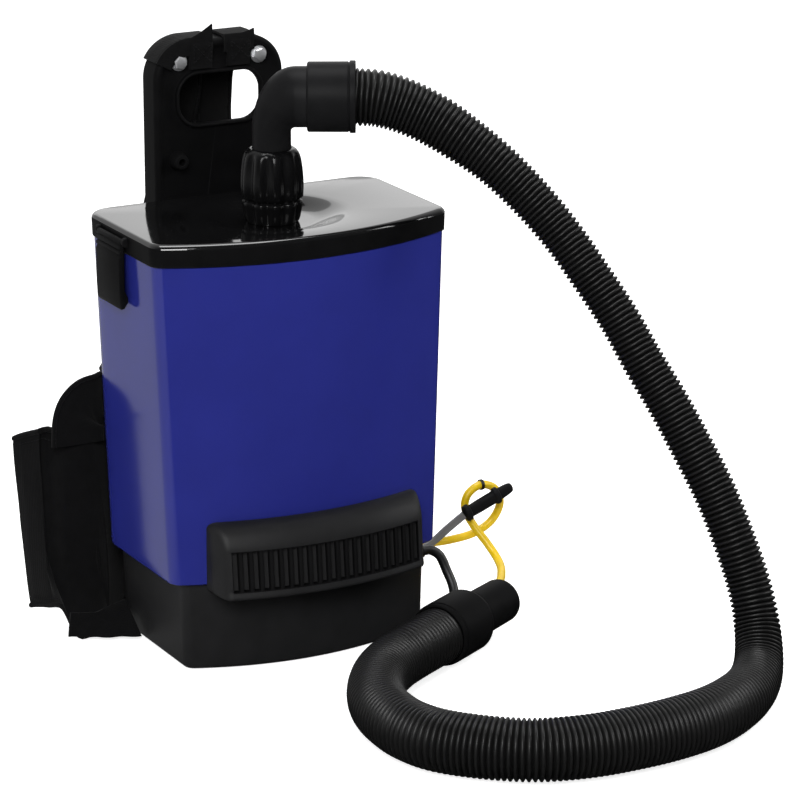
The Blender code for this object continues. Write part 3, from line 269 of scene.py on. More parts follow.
def linear(code):
    """An sRGB hex colour as linear red, green and blue."""
    values = [int(code[i : i + 2], 16) / 255 for i in (1, 3, 5)]
    return tuple(v / 12.92 if v <= 0.04045 else ((v + 0.055) / 1.055) ** 2.4 for v in values)


class TubSizes(bpy.types.PropertyGroup):
    """Sizes of the lid, the exhaust cover and the collar"""

    edge_round: bpy.props.FloatProperty(
        name="Lid edge", description="Rounding of the lid's top edge", default=0.0050, unit="LENGTH"
    )
    overhang: bpy.props.FloatProperty(
        name="Lid overhang", description="How far the lid stands out", default=0.0015, unit="LENGTH"
    )
    slots: bpy.props.IntProperty(name="Vent slots", description="Slots in the exhaust cover", default=21)
    slot_width: bpy.props.FloatProperty(
        name="Slot width", description="Width of one exhaust slot", default=0.0050, unit="LENGTH"
    )
    slot_depth: bpy.props.FloatProperty(
        name="Slot depth", description="Depth of one exhaust slot", default=0.0085, unit="LENGTH"
    )
    lobes: bpy.props.IntProperty(name="Collar lobes", description="Lobes round the collar", default=10)


class HoseSizes(bpy.types.PropertyGroup):
    """Sizes of the hose and the cords"""

    rib_pitch: bpy.props.FloatProperty(
        name="Rib pitch", description="Distance from one hose rib to the next", default=0.0047, unit="LENGTH"
    )
    rib_depth: bpy.props.FloatProperty(
        name="Rib depth", description="Depth of the groove between two ribs", default=0.0028, unit="LENGTH"
    )
    sides: bpy.props.IntProperty(name="Sides", description="Faces round the hose", default=28)
    power_radius: bpy.props.FloatProperty(
        name="Power cord", description="Radius of the power cord", default=0.0039, unit="LENGTH"
    )
    lead_radius: bpy.props.FloatProperty(
        name="Switch lead", description="Radius of the switch lead", default=0.0045, unit="LENGTH"
    )


class HarnessSizes(bpy.types.PropertyGroup):
    """Sizes of the webbing, the straps and the belt"""

    web_width: bpy.props.FloatProperty(
        name="Webbing width", description="Width of the strap loops", default=0.023, unit="LENGTH"
    )
    web_thickness: bpy.props.FloatProperty(
        name="Webbing thickness", description="Thickness of the woven tape", default=0.0022, unit="LENGTH"
    )
    strap_width: bpy.props.FloatProperty(
        name="Strap width", description="Width of the shoulder straps", default=0.036, unit="LENGTH"
    )
    stitch: bpy.props.FloatProperty(
        name="Stitch", description="Distance from one stitch to the next", default=0.0036, unit="LENGTH"
    )
    strap_thickness: bpy.props.FloatProperty(
        name="Strap padding", description="Thickness of the shoulder straps", default=0.0050, unit="LENGTH"
    )
    belt_thickness: bpy.props.FloatProperty(
        name="Belt padding", description="Thickness of the waist belt", default=0.0120, unit="LENGTH"
    )


class Finishes(bpy.types.PropertyGroup):
    """Colours of the finishes"""

    tub: bpy.props.FloatVectorProperty(
        name="Tub", description="Colour of the moulded tub", subtype="COLOR", default=linear("#23297A")
    )
    black: bpy.props.FloatVectorProperty(
        name="Black", description="Colour of black mouldings", subtype="COLOR", default=linear("#161617")
    )
    hose: bpy.props.FloatVectorProperty(
        name="Hose", description="Colour of the hose", subtype="COLOR", default=linear("#101010")
    )
    cloth: bpy.props.FloatVectorProperty(
        name="Harness", description="Colour of straps and belt", subtype="COLOR", default=linear("#080809")
    )
    cord: bpy.props.FloatVectorProperty(
        name="Power cord", description="Colour of the power cord", subtype="COLOR", default=linear("#ECC600")
    )
    strip: bpy.props.FloatVectorProperty(
        name="Strip", description="Colour of the hook's strip", subtype="COLOR", default=linear("#6E6E70")
    )


def add_node(tree, kind, links=None, **settings):
    """Adds one node with its settings; links gives each input a value or another node's socket."""
    made = tree.nodes.new(kind)
    for key, value in settings.items():
        setattr(made, key, value)
    for key, value in (links or {}).items():
        if isinstance(value, bpy.types.NodeSocket):
            tree.links.new(value, made.inputs[key])
        else:
            made.inputs[key].default_value = value
    return made


def surface(name, colour, roughness, **sockets):
    """A Principled material, its tree and its shader. Sockets with spaces take an underscore."""
    made = bpy.data.materials.new(name)
    made.use_nodes = True
    shader = made.node_tree.nodes["Principled BSDF"]
    shader.inputs["Base Color"].default_value = (*colour, 1.0)
    shader.inputs["Roughness"].default_value = roughness
    for key, value in sockets.items():
        shader.inputs[key.replace("_", " ")].default_value = value
    return made, made.node_tree, shader


def mottle(tree, shader, colour, grain, share, edge_lift=0.0):
    """Uneven colour, optionally paler on sharp convex edges; gives back the texture coordinates."""
    place = add_node(tree, "ShaderNodeTexCoord").outputs["Object"]
    cloud = add_node(tree, "ShaderNodeTexNoise", {"Vector": place, "Scale": 1 / grain, "Detail": 5.0})
    ramp = add_node(tree, "ShaderNodeValToRGB", {"Fac": cloud.outputs["Fac"]})
    dark, pale = ramp.color_ramp.elements
    dark.position, pale.position = 0.3, 0.7
    dark.color = (*[c * (1 - share) for c in colour], 1)
    pale.color = (*[c * (1 + share) for c in colour], 1)
    out = ramp.outputs["Color"]
    if edge_lift:
        # Sharp convex edges are drawn paler than the rest.
        point = add_node(tree, "ShaderNodeNewGeometry").outputs["Pointiness"]
        edge = add_node(tree, "ShaderNodeMapRange", {"Value": point, "From Min": 0.53, "From Max": 0.62})
        edge_colour = (*[min(1, c * (1 + edge_lift) + 0.004) for c in colour], 1)
        lift = add_node(
            tree, "ShaderNodeMix", {"Factor": edge.outputs["Result"], 6: out, 7: edge_colour}, data_type="RGBA"
        )
        out = lift.outputs[2]
    tree.links.new(out, shader.inputs["Base Color"])
    return place


def grained(name, colour, roughness, spread, patches, grain, **sockets):
    """Colour patches (size, share, paling of sharp edges) and a grain (size, depth) that the roughness
    follows.
    """
    made, tree, shader = surface(name, colour, roughness, **sockets)
    place = mottle(tree, shader, colour, *patches)
    size, depth = grain
    speckle = add_node(tree, "ShaderNodeTexNoise", {"Vector": place, "Scale": 1 / size, "Detail": 3.0})
    height = speckle.outputs["Fac"]
    bump = add_node(tree, "ShaderNodeBump", {"Height": height, "Strength": 1.0, "Distance": depth})
    tree.links.new(bump.outputs["Normal"], shader.inputs["Normal"])
    limits = {"To Min": roughness - spread, "To Max": roughness + spread}
    rough = add_node(tree, "ShaderNodeMapRange", {"Value": height, **limits})
    tree.links.new(rough.outputs["Result"], shader.inputs["Roughness"])
    return made


def blue_abs(colour):
    """Injection-moulded ABS in high gloss: clear reflections with a faint ripple from the mould."""
    return grained("moulded_gloss_abs_blue", colour, 0.13, 0.03, (0.060, 0.05), (0.0090, 0.000012), IOR=1.52)


def polished_abs(colour):
    """Polished black ABS: a near-mirror with fine rub marks."""
    return grained("polished_abs_black", colour, 0.075, 0.035, (0.030, 0.10), (0.0120, 0.000010), IOR=1.56)


def collar_abs(colour):
    """Moulded black ABS, half gloss: small bright points on the lobes and deep black between them."""
    shine = {"IOR": 1.46, "Specular_IOR_Level": 0.2}
    return grained("half_gloss_abs_black", colour, 0.22, 0.04, (0.020, 0.10), (0.0040, 0.000010), **shine)


def grained_polypropylene(colour):
    """Polypropylene moulded against a spark-eroded steel: a fine dull grain of about 0.6 mm."""
    shine = {"IOR": 1.49, "Specular_IOR_Level": 0.25}
    patches = (0.020, 0.14, 0.5)
    return grained("grained_polypropylene_black", colour, 0.52, 0.07, patches, (0.0006, 0.00007), **shine)


def satin_nylon(colour):
    """Satin moulded nylon: soft wide highlights and a very fine grain, drawn at 0.5 mm so that it shows."""
    shine = {"IOR": 1.53, "Specular_IOR_Level": 0.05}
    patches = (0.018, 0.12, 0.6)
    return grained("satin_moulded_nylon_black", colour, 0.46, 0.06, patches, (0.0005, 0.000028), **shine)


def matt_nylon(colour):
    """Matt moulded nylon: almost no shine, a fine grain of 0.5 mm and sharp edges a little paler."""
    shine = {"IOR": 1.53, "Specular_IOR_Level": 0.04}
    patches = (0.018, 0.15, 0.8)
    return grained("matt_moulded_nylon_black", colour, 0.55, 0.06, patches, (0.0005, 0.00004), **shine)


def hose_eva(colour):
    """Extruded EVA hose: satin ribs, drawn paler on their crests."""
    shine = {"IOR": 1.48, "Specular_IOR_Level": 0.28}
    patches = (0.012, 0.18, 0.5)
    return grained("extruded_eva_hose_black", colour, 0.40, 0.07, patches, (0.0007, 0.00004), **shine)


def woven(name, colour, thread, depth):
    """Woven polyester: crossing threads with a matt fuzz on top."""
    made, tree, shader = surface(name, colour, 0.92, IOR=1.45, Specular_IOR_Level=0.15, Sheen_Weight=0.03)
    place = mottle(tree, shader, colour, 0.010, 0.22)
    threads = {"Vector": place, "Scale": 0.314 / thread, "Distortion": 0.6, "Detail": 1.0}
    warp, weft = (
        add_node(tree, "ShaderNodeTexWave", threads, bands_direction=direction).outputs["Fac"]
        for direction in ("X", "Z")
    )
    weave = add_node(tree, "ShaderNodeMath", {0: warp, 1: weft}, operation="MAXIMUM")
    bump = add_node(
        tree, "ShaderNodeBump", {"Height": weave.outputs["Value"], "Strength": 1.0, "Distance": depth}
    )
    tree.links.new(bump.outputs["Normal"], shader.inputs["Normal"])
    return made


def zinc_plated_steel():
    """Bright zinc-plated steel: a pale, slightly clouded mirror with faint tool marks."""
    clouds, marks = (0.004, 0.06), (0.0008, 0.00002)
    return grained("bright_zinc_plated_steel", linear("#F0F1F3"), 0.46, 0.08, clouds, marks, Metallic=1.0)


def brass_pins():
    """Drawn brass: warm and bright, with fine lines from the die."""
    clouds, lines = (0.003, 0.08), (0.0005, 0.00002)
    return grained("drawn_brass", linear("#C9A458"), 0.25, 0.06, clouds, lines, Metallic=1.0)


def cord_pvc(name, colour, roughness):
    """Extruded soft PVC sheath: smooth, with a slow unevenness from the drawing."""
    return grained(name, colour, roughness, 0.06, (0.008, 0.08), (0.0012, 0.00004), IOR=1.53)


def plain_inside(name, colour, roughness, grain, metallic=0.0):
    """A plain finish for pieces inside the closed tub: uneven colour and a grain."""
    return grained(name, colour, roughness, 0.05, (grain * 4, 0.15), (grain, grain * 0.08), Metallic=metallic)


MADE_FINISHES = {}


def finish(kind):
    """The named finish, made at its first use from the panel's colours."""
    colours = bpy.context.scene.vacuum_finishes
    black, hose, cloth = tuple(colours.black), tuple(colours.hose), tuple(colours.cloth)
    makers = {
        "tub": lambda: blue_abs(tuple(colours.tub)),
        "lid": lambda: polished_abs(tuple(c * 0.45 for c in black)),
        "base": lambda: grained_polypropylene(tuple(c * 1.25 for c in black)),
        "satin": lambda: satin_nylon(black),
        "collar": lambda: collar_abs(tuple(c * 0.5 for c in black)),
        "matt": lambda: matt_nylon(tuple(c * 0.5 for c in black)),
        "hose": lambda: hose_eva(hose),
        "webbing": lambda: woven("woven_polyester_webbing", cloth, 0.0011, 0.00025),
        "cloth": lambda: woven("woven_nylon_pack_cloth", tuple(c * 0.9 for c in cloth), 0.0008, 0.00015),
        "thread": lambda: woven("twisted_polyester_thread", tuple(c * 2.4 for c in cloth), 0.0006, 0.00008),
        "chrome": zinc_plated_steel,
        "brass": brass_pins,
        "yellow": lambda: cord_pvc("extruded_pvc_yellow", tuple(colours.cord), 0.38),
        "rubber": lambda: cord_pvc("extruded_pvc_black", hose, 0.45),
        "grey": lambda: cord_pvc("moulded_soft_pvc_grey", tuple(colours.strip), 0.50),
        "foam": lambda: plain_inside("open_cell_foam_charcoal", linear("#131314"), 0.95, 0.0012),
        "paper": lambda: plain_inside("pressed_filter_paper", linear("#C9B592"), 0.9, 0.0015),
        "steel": lambda: plain_inside("cast_aluminium", linear("#B5B6B8"), 0.38, 0.0010, 1.0),
    }
    if kind not in MADE_FINISHES:
        MADE_FINISHES[kind] = makers[kind]()
    return MADE_FINISHES[kind]


def add_piece(name, builder, kind, body, replaced=(), sharp=38.0):
    """Turns a bmesh into a smooth piece that rides on a body and stands for CAD nodes."""
    bmesh.ops.recalc_face_normals(builder, faces=builder.faces)
    mesh = bpy.data.meshes.new(name)
    builder.to_mesh(mesh)
    builder.free()
    mesh.shade_smooth()
    mesh.set_sharp_from_angle(angle=math.radians(sharp))
    mesh.materials.append(finish(kind))
    made = bpy.data.objects.new(name, mesh)
    bpy.context.scene.collection.objects.link(made)
    if body:
        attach(made, body)
    if replaced:
        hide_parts(*replaced)
    return made


def add_detail(owner, name, builder, kind, sharp=38.0):
    """A small piece that goes wherever its owner goes."""
    made = add_piece(name, builder, kind, None, sharp=sharp)
    made.parent = owner


def repaint(kind, *nodes):
    """Gives carried-over CAD nodes a better finish."""
    for name in nodes:
        mesh = frame["nodes"][name].data
        mesh.materials.clear()
        mesh.materials.append(finish(kind))


def skin(rings, closed=False, into=None):
    """Skins rings of equal point counts, with end caps or back to the first ring."""
    builder = into or bmesh.new()
    rows = [[builder.verts.new(point) for point in ring] for ring in rings]
    pairs = list(zip(rows, rows[1:]))
    if closed:
        pairs.append((rows[-1], rows[0]))
    for low, high in pairs:
        count = len(low)
        for i in range(count):
            j = (i + 1) % count
            builder.faces.new((low[i], low[j], high[j], high[i]))
    if not closed:
        builder.faces.new(rows[0])
        builder.faces.new(rows[-1])
    return builder


def circle(count):
    """Cosine and sine at even steps round a circle."""
    return [(math.cos(math.tau * i / count), math.sin(math.tau * i / count)) for i in range(count)]


def quarter(steps):
    """Cosine and sine at even steps through a quarter turn."""
    turns = [math.pi / 2 * i / steps for i in range(steps + 1)]
    return [(math.cos(t), math.sin(t)) for t in turns]


def revolve(profile, place, count=64, closed=True, into=None):
    """Revolves (along, radius) pairs about the X axis of a placement."""
    rings = []
    for along, radius in profile:
        rings.append([place @ Vector((along, radius * a, radius * b)) for a, b in circle(count)])
    return skin(rings, closed, into)


def rounded(profile, radius, steps=4):
    """Rounds every corner of a closed (along, radius) profile."""
    points = [Vector(p) for p in profile]
    made = []
    for i, corner in enumerate(points):
        before, after = points[i - 1], points[(i + 1) % len(points)]
        reach = min(radius, (before - corner).length * 0.45, (after - corner).length * 0.45)
        a = corner + (before - corner).normalized() * reach
        b = corner + (after - corner).normalized() * reach
        for k in range(steps + 1):
            s = k / steps
            made.append(tuple(a * (1 - s) ** 2 + corner * 2 * s * (1 - s) + b * s**2))
    return made


def unit_tangents(path):
    """The unit direction of travel at each point of a path."""
    tangents = np.gradient(path, axis=0)
    return tangents / np.linalg.norm(tangents, axis=1)[:, None]


def steps_along(path):
    """The length of each step of a path."""
    return np.linalg.norm(np.diff(path[:, :3], axis=0), axis=1)


def distances(path):
    """How far along a path each of its points lies."""
    return np.concatenate([[0.0], np.cumsum(steps_along(path))])


def smooth_route(points, spacing):
    """Evenly spaced samples of the Catmull-Rom curve through the points, all columns alike."""
    rows = np.array(points, float)
    ends = np.vstack([2 * rows[0] - rows[1], rows, 2 * rows[-1] - rows[-2]])
    dense = []
    for i in range(1, len(ends) - 2):
        before, here, there, after = ends[i - 1 : i + 3]
        for s in np.linspace(0, 1, 24, endpoint=False):
            square = (2 * before - 5 * here + 4 * there - after) * s**2
            cube = (3 * here - before - 3 * there + after) * s**3
            dense.append(0.5 * (2 * here + (there - before) * s + square + cube))
    dense.append(rows[-1])
    dense = np.array(dense)
    along = distances(dense)
    count = max(2, int(round(along[-1] / spacing)))
    at = np.linspace(0, along[-1], count + 1)
    return np.column_stack([np.interp(at, along, dense[:, k]) for k in range(dense.shape[1])])


def route_frames(path):
    """A side and an up vector at each point of a route, carried along without twist."""
    tangents = unit_tangents(path)
    side = np.cross(tangents[0], (0, 0, 1))
    pairs = []
    for tangent in tangents:
        side = side - tangent * np.dot(side, tangent)
        side /= np.linalg.norm(side)
        pairs.append((side.copy(), np.cross(side, tangent)))
    return pairs


def tube(name, points, radius, kind, node):
    """A round cord as a curve with a bevel along a smooth route."""
    path = smooth_route(points, radius * 0.9)
    curve = bpy.data.curves.new(name, "CURVE")
    curve.dimensions = "3D"
    curve.bevel_depth = radius
    curve.bevel_resolution = 5
    curve.use_fill_caps = True
    spline = curve.splines.new("POLY")
    spline.points.add(len(path) - 1)
    for point, place in zip(spline.points, path):
        point.co = (*place, 1.0)
    curve.materials.append(finish(kind))
    made = bpy.data.objects.new(name, curve)
    bpy.context.scene.collection.objects.link(made)
    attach(made, "chassis")
    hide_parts(node)
    return made, path, float(steps_along(path).sum())


def soften(node, width):
    """Rounds the edges of a carried-over CAD node with a bevel that leaves its mesh alone."""
    bevel = frame["nodes"][node].modifiers.new("edge round", "BEVEL")
    bevel.width = width
    bevel.segments = 3
    bevel.limit_method = "ANGLE"
    bevel.angle_limit = math.radians(40)


def sweep(path, across, profile, into=None):
    """Sweeps closed (across, out) profiles along a path whose width directions are given."""
    path = np.asarray(path, float)
    rings = []
    for i, (place, tangent) in enumerate(zip(path, unit_tangents(path))):
        wide = np.asarray(across[i], float)
        wide = wide - tangent * np.dot(wide, tangent)
        wide /= np.linalg.norm(wide)
        out = np.cross(wide, tangent)
        pairs = profile(i / (len(path) - 1)) if callable(profile) else profile
        rings.append([tuple(place + wide * a + out * b) for a, b in pairs])
    return skin(rings, into=into)


def sew(builder, path, out, pitch, thick=0.0007):
    """A row of stitches along a path: short raised threads that dip into the cloth at their ends."""
    path = np.asarray(path, float)
    out = np.asarray(out, float)
    along = distances(path)
    for i in range(int(along[-1] / pitch)):
        shares = [(i + share) * pitch for share in (0.18, 0.34, 0.66, 0.82)]
        places = [[np.interp(at, along, path[:, k]) for k in range(3)] for at in shares]
        outs = [[np.interp(at, along, out[:, k]) for k in range(3)] for at in shares]
        rings = []
        direction = np.subtract(places[3], places[0])
        for place, normal, lift in zip(places, outs, (-0.35, 0.55, 0.55, -0.35)):
            normal = np.array(normal) / np.linalg.norm(normal)
            side = np.cross(direction, normal)
            side /= np.linalg.norm(side)
            middle = np.array(place) + normal * (thick * lift)
            rings.append([tuple(middle + (side * a + normal * b) * (thick / 2)) for a, b in circle(6)])
        skin(rings, into=builder)


def arm_place():
    """Placement whose X runs out along the elbow's arm from the swivel axis."""
    return Matrix.Translation((0, INLET_Y, ARM_HEIGHT)) @ Matrix.Rotation(ARM_ANGLE, 4, "Z")


def end_place():
    """Placement whose X runs out along the end cuff and the wand connector."""
    return Matrix.Translation(END_CUFF_AT) @ Matrix.Rotation(END_ANGLE, 4, "Z")


def tub_measures(height):
    """Half width, front corner line and bow of the tub at a height."""
    share = height / LID_TOP
    return tuple(low + (high - low) * share for low, high in (HALF_WIDTHS, FRONTS, BOWS))


def front_y(x, height):
    """Y of the bowed front at an X and a height."""
    half, front, bow = tub_measures(height)
    radius = (half**2 + bow**2) / (2 * bow)
    return front - bow + radius - math.sqrt(radius**2 - x**2)


def tub_outline(height, inset=0.0, z=None, narrower=0.0):
    """The D of the tub at a height as a ring of points, drawn in by an inset and narrowed at its sides."""
    half, front, bow = tub_measures(height)
    half -= inset + narrower
    front += inset
    back = TUB_BACK - inset
    level = height if z is None else z
    radius = (half**2 + bow**2) / (2 * bow)
    middle = front - bow + radius
    lean = math.asin(half / radius)
    corner = max(0.014 - inset, 0.006)
    rear = max(0.022 - inset, 0.004)
    tangent = corner * math.tan((math.pi / 2 - lean) / 2)
    left = []
    for i in range(9):
        t = math.pi / 2 * (1 + i / 8)
        left.append((-half + rear + rear * math.cos(t), back - rear + rear * math.sin(t)))
    for i in range(1, 9):
        share = i / 9
        left.append((-half, (back - rear) * (1 - share) + (front + tangent) * share))
    for i in range(12):
        t = math.pi + (math.pi / 2 - lean) * i / 12
        left.append((-half + corner + corner * math.cos(t), front + tangent + corner * math.sin(t)))
    reach = half - corner + corner * math.sin(lean)
    bowed = []
    for i in range(45):
        x = reach * (i / 22 - 1)
        bowed.append((x, middle - math.sqrt(radius**2 - x**2)))
    right = [(-x, y) for x, y in reversed(left)]
    fan = math.atan2(half - rear, back - INLET_Y)
    straight = [((back - INLET_Y) * math.tan(fan * (1 - i / 10)), back) for i in range(1, 20)]
    return [(x, y, level) for x, y in left + bowed + right + straight]


def dish_ring(radius, height):
    """A round ring whose points lie on the rays of the tub outline's own points."""
    ring = []
    for x, y, _ in tub_outline(LID_TOP):
        t = math.atan2(y - INLET_Y, x)
        ring.append((radius * math.cos(t), INLET_Y + radius * math.sin(t), height))
    return ring


class VACUUM_OT_stage(bpy.types.Operator):
    """Sets up the white studio, its lamps and the camera"""

    bl_idname = "vacuum.stage"
    bl_label = "Studio and camera"

    def execute(self, context):
        scene = context.scene
        scene.view_settings.view_transform = "Standard"
        self.add_camera(scene)
        self.add_floor(scene)
        self.add_world(scene)
        for name, place, aim, size, power in (
            ("key_softbox", (-1.5, -2.3, 2.0), (0, 0, 0.25), (1.2, 1.4), 78),
            ("fill_softbox", (2.4, -1.0, 1.5), (0.1, 0, 0.2), (0.8, 1.6), 26),
            ("top_softbox", (0.2, 0.3, 2.4), (0, 0, 0.2), (1.2, 0.9), 26),
            ("rear_softbox", (0.9, 2.4, 1.25), (0, 0, 0.36), (2.2, 0.9), 5.6),
        ):
            lamp = bpy.data.lights.new(name, "AREA")
            lamp.shape = "RECTANGLE"
            lamp.size, lamp.size_y = size
            lamp.energy = power
            holder = bpy.data.objects.new(name, lamp)
            holder.location = place
            holder.rotation_euler = (Vector(aim) - Vector(place)).to_track_quat("-Z", "Y").to_euler()
            scene.collection.objects.link(holder)
        return {"FINISHED"}

    def add_camera(self, scene):
        """A long lens from the front left, a little above."""
        camera = bpy.data.objects.new("camera", bpy.data.cameras.new("camera"))
        scene.collection.objects.link(camera)
        camera.data.sensor_width = 36.0
        camera.data.lens = CAMERA_LENS
        camera.data.clip_end = 60.0
        turn, rise = CAMERA_TURN, CAMERA_RISE
        back = Vector((-math.sin(turn) * math.cos(rise), -math.cos(turn) * math.cos(rise), math.sin(rise)))
        right = Vector((math.cos(turn), -math.sin(turn), 0))
        up = back.cross(right)
        camera.matrix_world = Matrix((right, up, back)).transposed().to_4x4()
        camera.location = CAMERA_AT
        scene.camera = camera

    def add_floor(self, scene):
        """White paper that keeps the object's shadow."""
        builder = bmesh.new()
        bmesh.ops.create_grid(builder, x_segments=1, y_segments=1, size=6.0)
        mesh = bpy.data.meshes.new("floor")
        builder.to_mesh(mesh)
        builder.free()
        floor = bpy.data.objects.new("floor", mesh)
        floor.location = (0, 0, -0.0006)
        scene.collection.objects.link(floor)
        paper = bpy.data.materials.new("white_paper_floor")
        paper.use_nodes = True
        tree = paper.node_tree
        tree.nodes.clear()
        path = add_node(tree, "ShaderNodeLightPath").outputs
        spot = add_node(tree, "ShaderNodeNewGeometry").outputs["Position"]
        parts = add_node(tree, "ShaderNodeSeparateXYZ", {"Vector": spot}).outputs
        # Reflections see paper that is bright behind and to the left of the object and dark in front of it.
        across = add_node(tree, "ShaderNodeMath", {0: parts["Y"], 1: parts["X"]}, operation="SUBTRACT")
        fade = {"From Min": -0.1, "From Max": 0.35, "To Min": 0.02, "To Max": 0.55}
        fade["Value"] = across.outputs["Value"]
        bright = add_node(tree, "ShaderNodeMapRange", fade, interpolation_type="SMOOTHSTEP").outputs["Result"]
        matt = add_node(tree, "ShaderNodeBsdfDiffuse", {"Color": (0.86, 0.86, 0.86, 1)}).outputs["BSDF"]
        glow = add_node(tree, "ShaderNodeEmission", {"Strength": 0.80}).outputs["Emission"]
        both = add_node(tree, "ShaderNodeAddShader", {0: matt, 1: glow}).outputs["Shader"]
        mirrored = add_node(tree, "ShaderNodeEmission", {"Strength": bright}).outputs["Emission"]
        rays = {0: path["Is Glossy Ray"], 1: path["Is Transmission Ray"]}
        shiny = add_node(tree, "ShaderNodeMath", rays, operation="MAXIMUM").outputs["Value"]
        unseen = add_node(tree, "ShaderNodeMixShader", {0: shiny, 1: matt, 2: mirrored}).outputs["Shader"]
        seen = add_node(tree, "ShaderNodeMixShader", {0: path["Is Camera Ray"], 1: unseen, 2: both})
        add_node(tree, "ShaderNodeOutputMaterial", {"Surface": seen.outputs["Shader"]})
        mesh.materials.append(paper)

    def add_world(self, scene):
        """A room that the camera sees as plain white."""
        world = bpy.data.worlds.new("studio")
        scene.world = world
        world.use_nodes = True
        tree = world.node_tree
        tree.nodes.clear()
        path = add_node(tree, "ShaderNodeLightPath").outputs
        place = add_node(tree, "ShaderNodeTexCoord").outputs["Generated"]
        parts = add_node(tree, "ShaderNodeSeparateXYZ", {"Vector": place}).outputs
        # The wall behind the object is bright and the room behind the camera is dark.
        fade = {"Value": parts["Y"], "From Min": -0.35, "From Max": 0.75, "To Min": 0.10, "To Max": 0.95}
        depth = add_node(tree, "ShaderNodeMapRange", fade, interpolation_type="SMOOTHSTEP").outputs["Result"]
        room = add_node(tree, "ShaderNodeBackground", {"Strength": depth}).outputs["Background"]
        white = add_node(tree, "ShaderNodeBackground", {"Strength": 1.0}).outputs["Background"]
        seen = add_node(tree, "ShaderNodeMixShader", {0: path["Is Camera Ray"], 1: room, 2: white})
        add_node(tree, "ShaderNodeOutputWorld", {"Surface": seen.outputs["Shader"]})


def hose_path():
    """The hose's route with its sagging start and its straight end inside both cuffs: x, y, z and radius."""
    along = arm_place().to_3x3() @ Vector((1, 0, 0))
    start = arm_place() @ Vector((CUFF_END - 0.0022, 0, 0))
    lead_in = []
    for share in (0.0, 0.5, 1.0):
        place = start + along * (0.042 * share) - Vector((0, 0, 0.0075 * share**2.2))
        lead_in.append((*place, 0.0250 - 0.0007 * share**2))
    away = end_place().to_3x3() @ Vector((1, 0, 0))
    finish_at = Vector(END_CUFF_AT) + away * 0.0022
    lead_out = [(*(finish_at - away * reach), 0.0252) for reach in (0.047, 0.024, 0.0)]
    return lead_in + HOSE_ROUTE + lead_out


class VACUUM_OT_hose(bpy.types.Operator):
    """Builds the ribbed hose from the elbow cuff to the end cuff"""

    bl_idname = "vacuum.hose"
    bl_label = "Ribbed hose"

    def execute(self, context):
        sizes = context.scene.vacuum_hose
        route = hose_path()
        length = float(steps_along(smooth_route(route, 0.004)).sum())
        ribs = round(length / sizes.rib_pitch)
        steps = 6
        stations = smooth_route(route, length / (ribs * steps))
        rings = []
        for i, (place, (side, up)) in enumerate(zip(stations, route_frames(stations[:, :3]))):
            groove = (0.5 + 0.5 * math.cos(math.tau * i / steps)) ** 2
            radius = place[3] - sizes.rib_depth * groove
            rings.append([tuple(place[:3] + radius * (side * a + up * b)) for a, b in circle(sizes.sides)])
        hose = add_piece("ribbed_hose", skin(rings), "hose", None, ("hose",), sharp=80)
        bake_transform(hose)
        return {"FINISHED"}


class VACUUM_OT_hose_end(bpy.types.Operator):
    """Builds the hose's end cuff and the wand connector"""

    bl_idname = "vacuum.hose_end"
    bl_label = "End cuff and connector"

    def execute(self, context):
        cuff = [(0, 0.0276), (0, 0.0256), (0.0030, 0.0256), (0.0030, 0.0195), (0.0430, 0.0195)]
        cuff += [(0.0430, 0.0210), (0.0530, 0.0210), (0.0530, 0.0252), (0.0468, 0.0284), (0.0066, 0.0285)]
        cuff += [(0.0060, 0.0273), (0.0046, 0.0273), (0.0040, 0.0285)]
        builder = revolve(rounded(cuff, 0.0009), end_place())
        add_piece("end_cuff", builder, "matt", "chassis", ("hose_end_cuff",))
        socket = [(0.0434, 0.0205), (0.0434, 0.0175), (0.1090, 0.0175), (0.1090, 0.0190), (0.1060, 0.0200)]
        builder = revolve(rounded(socket, 0.0012), end_place())
        add_piece("wand_socket_tube", builder, "matt", "chassis", ("wand_connector",))
        return {"FINISHED"}


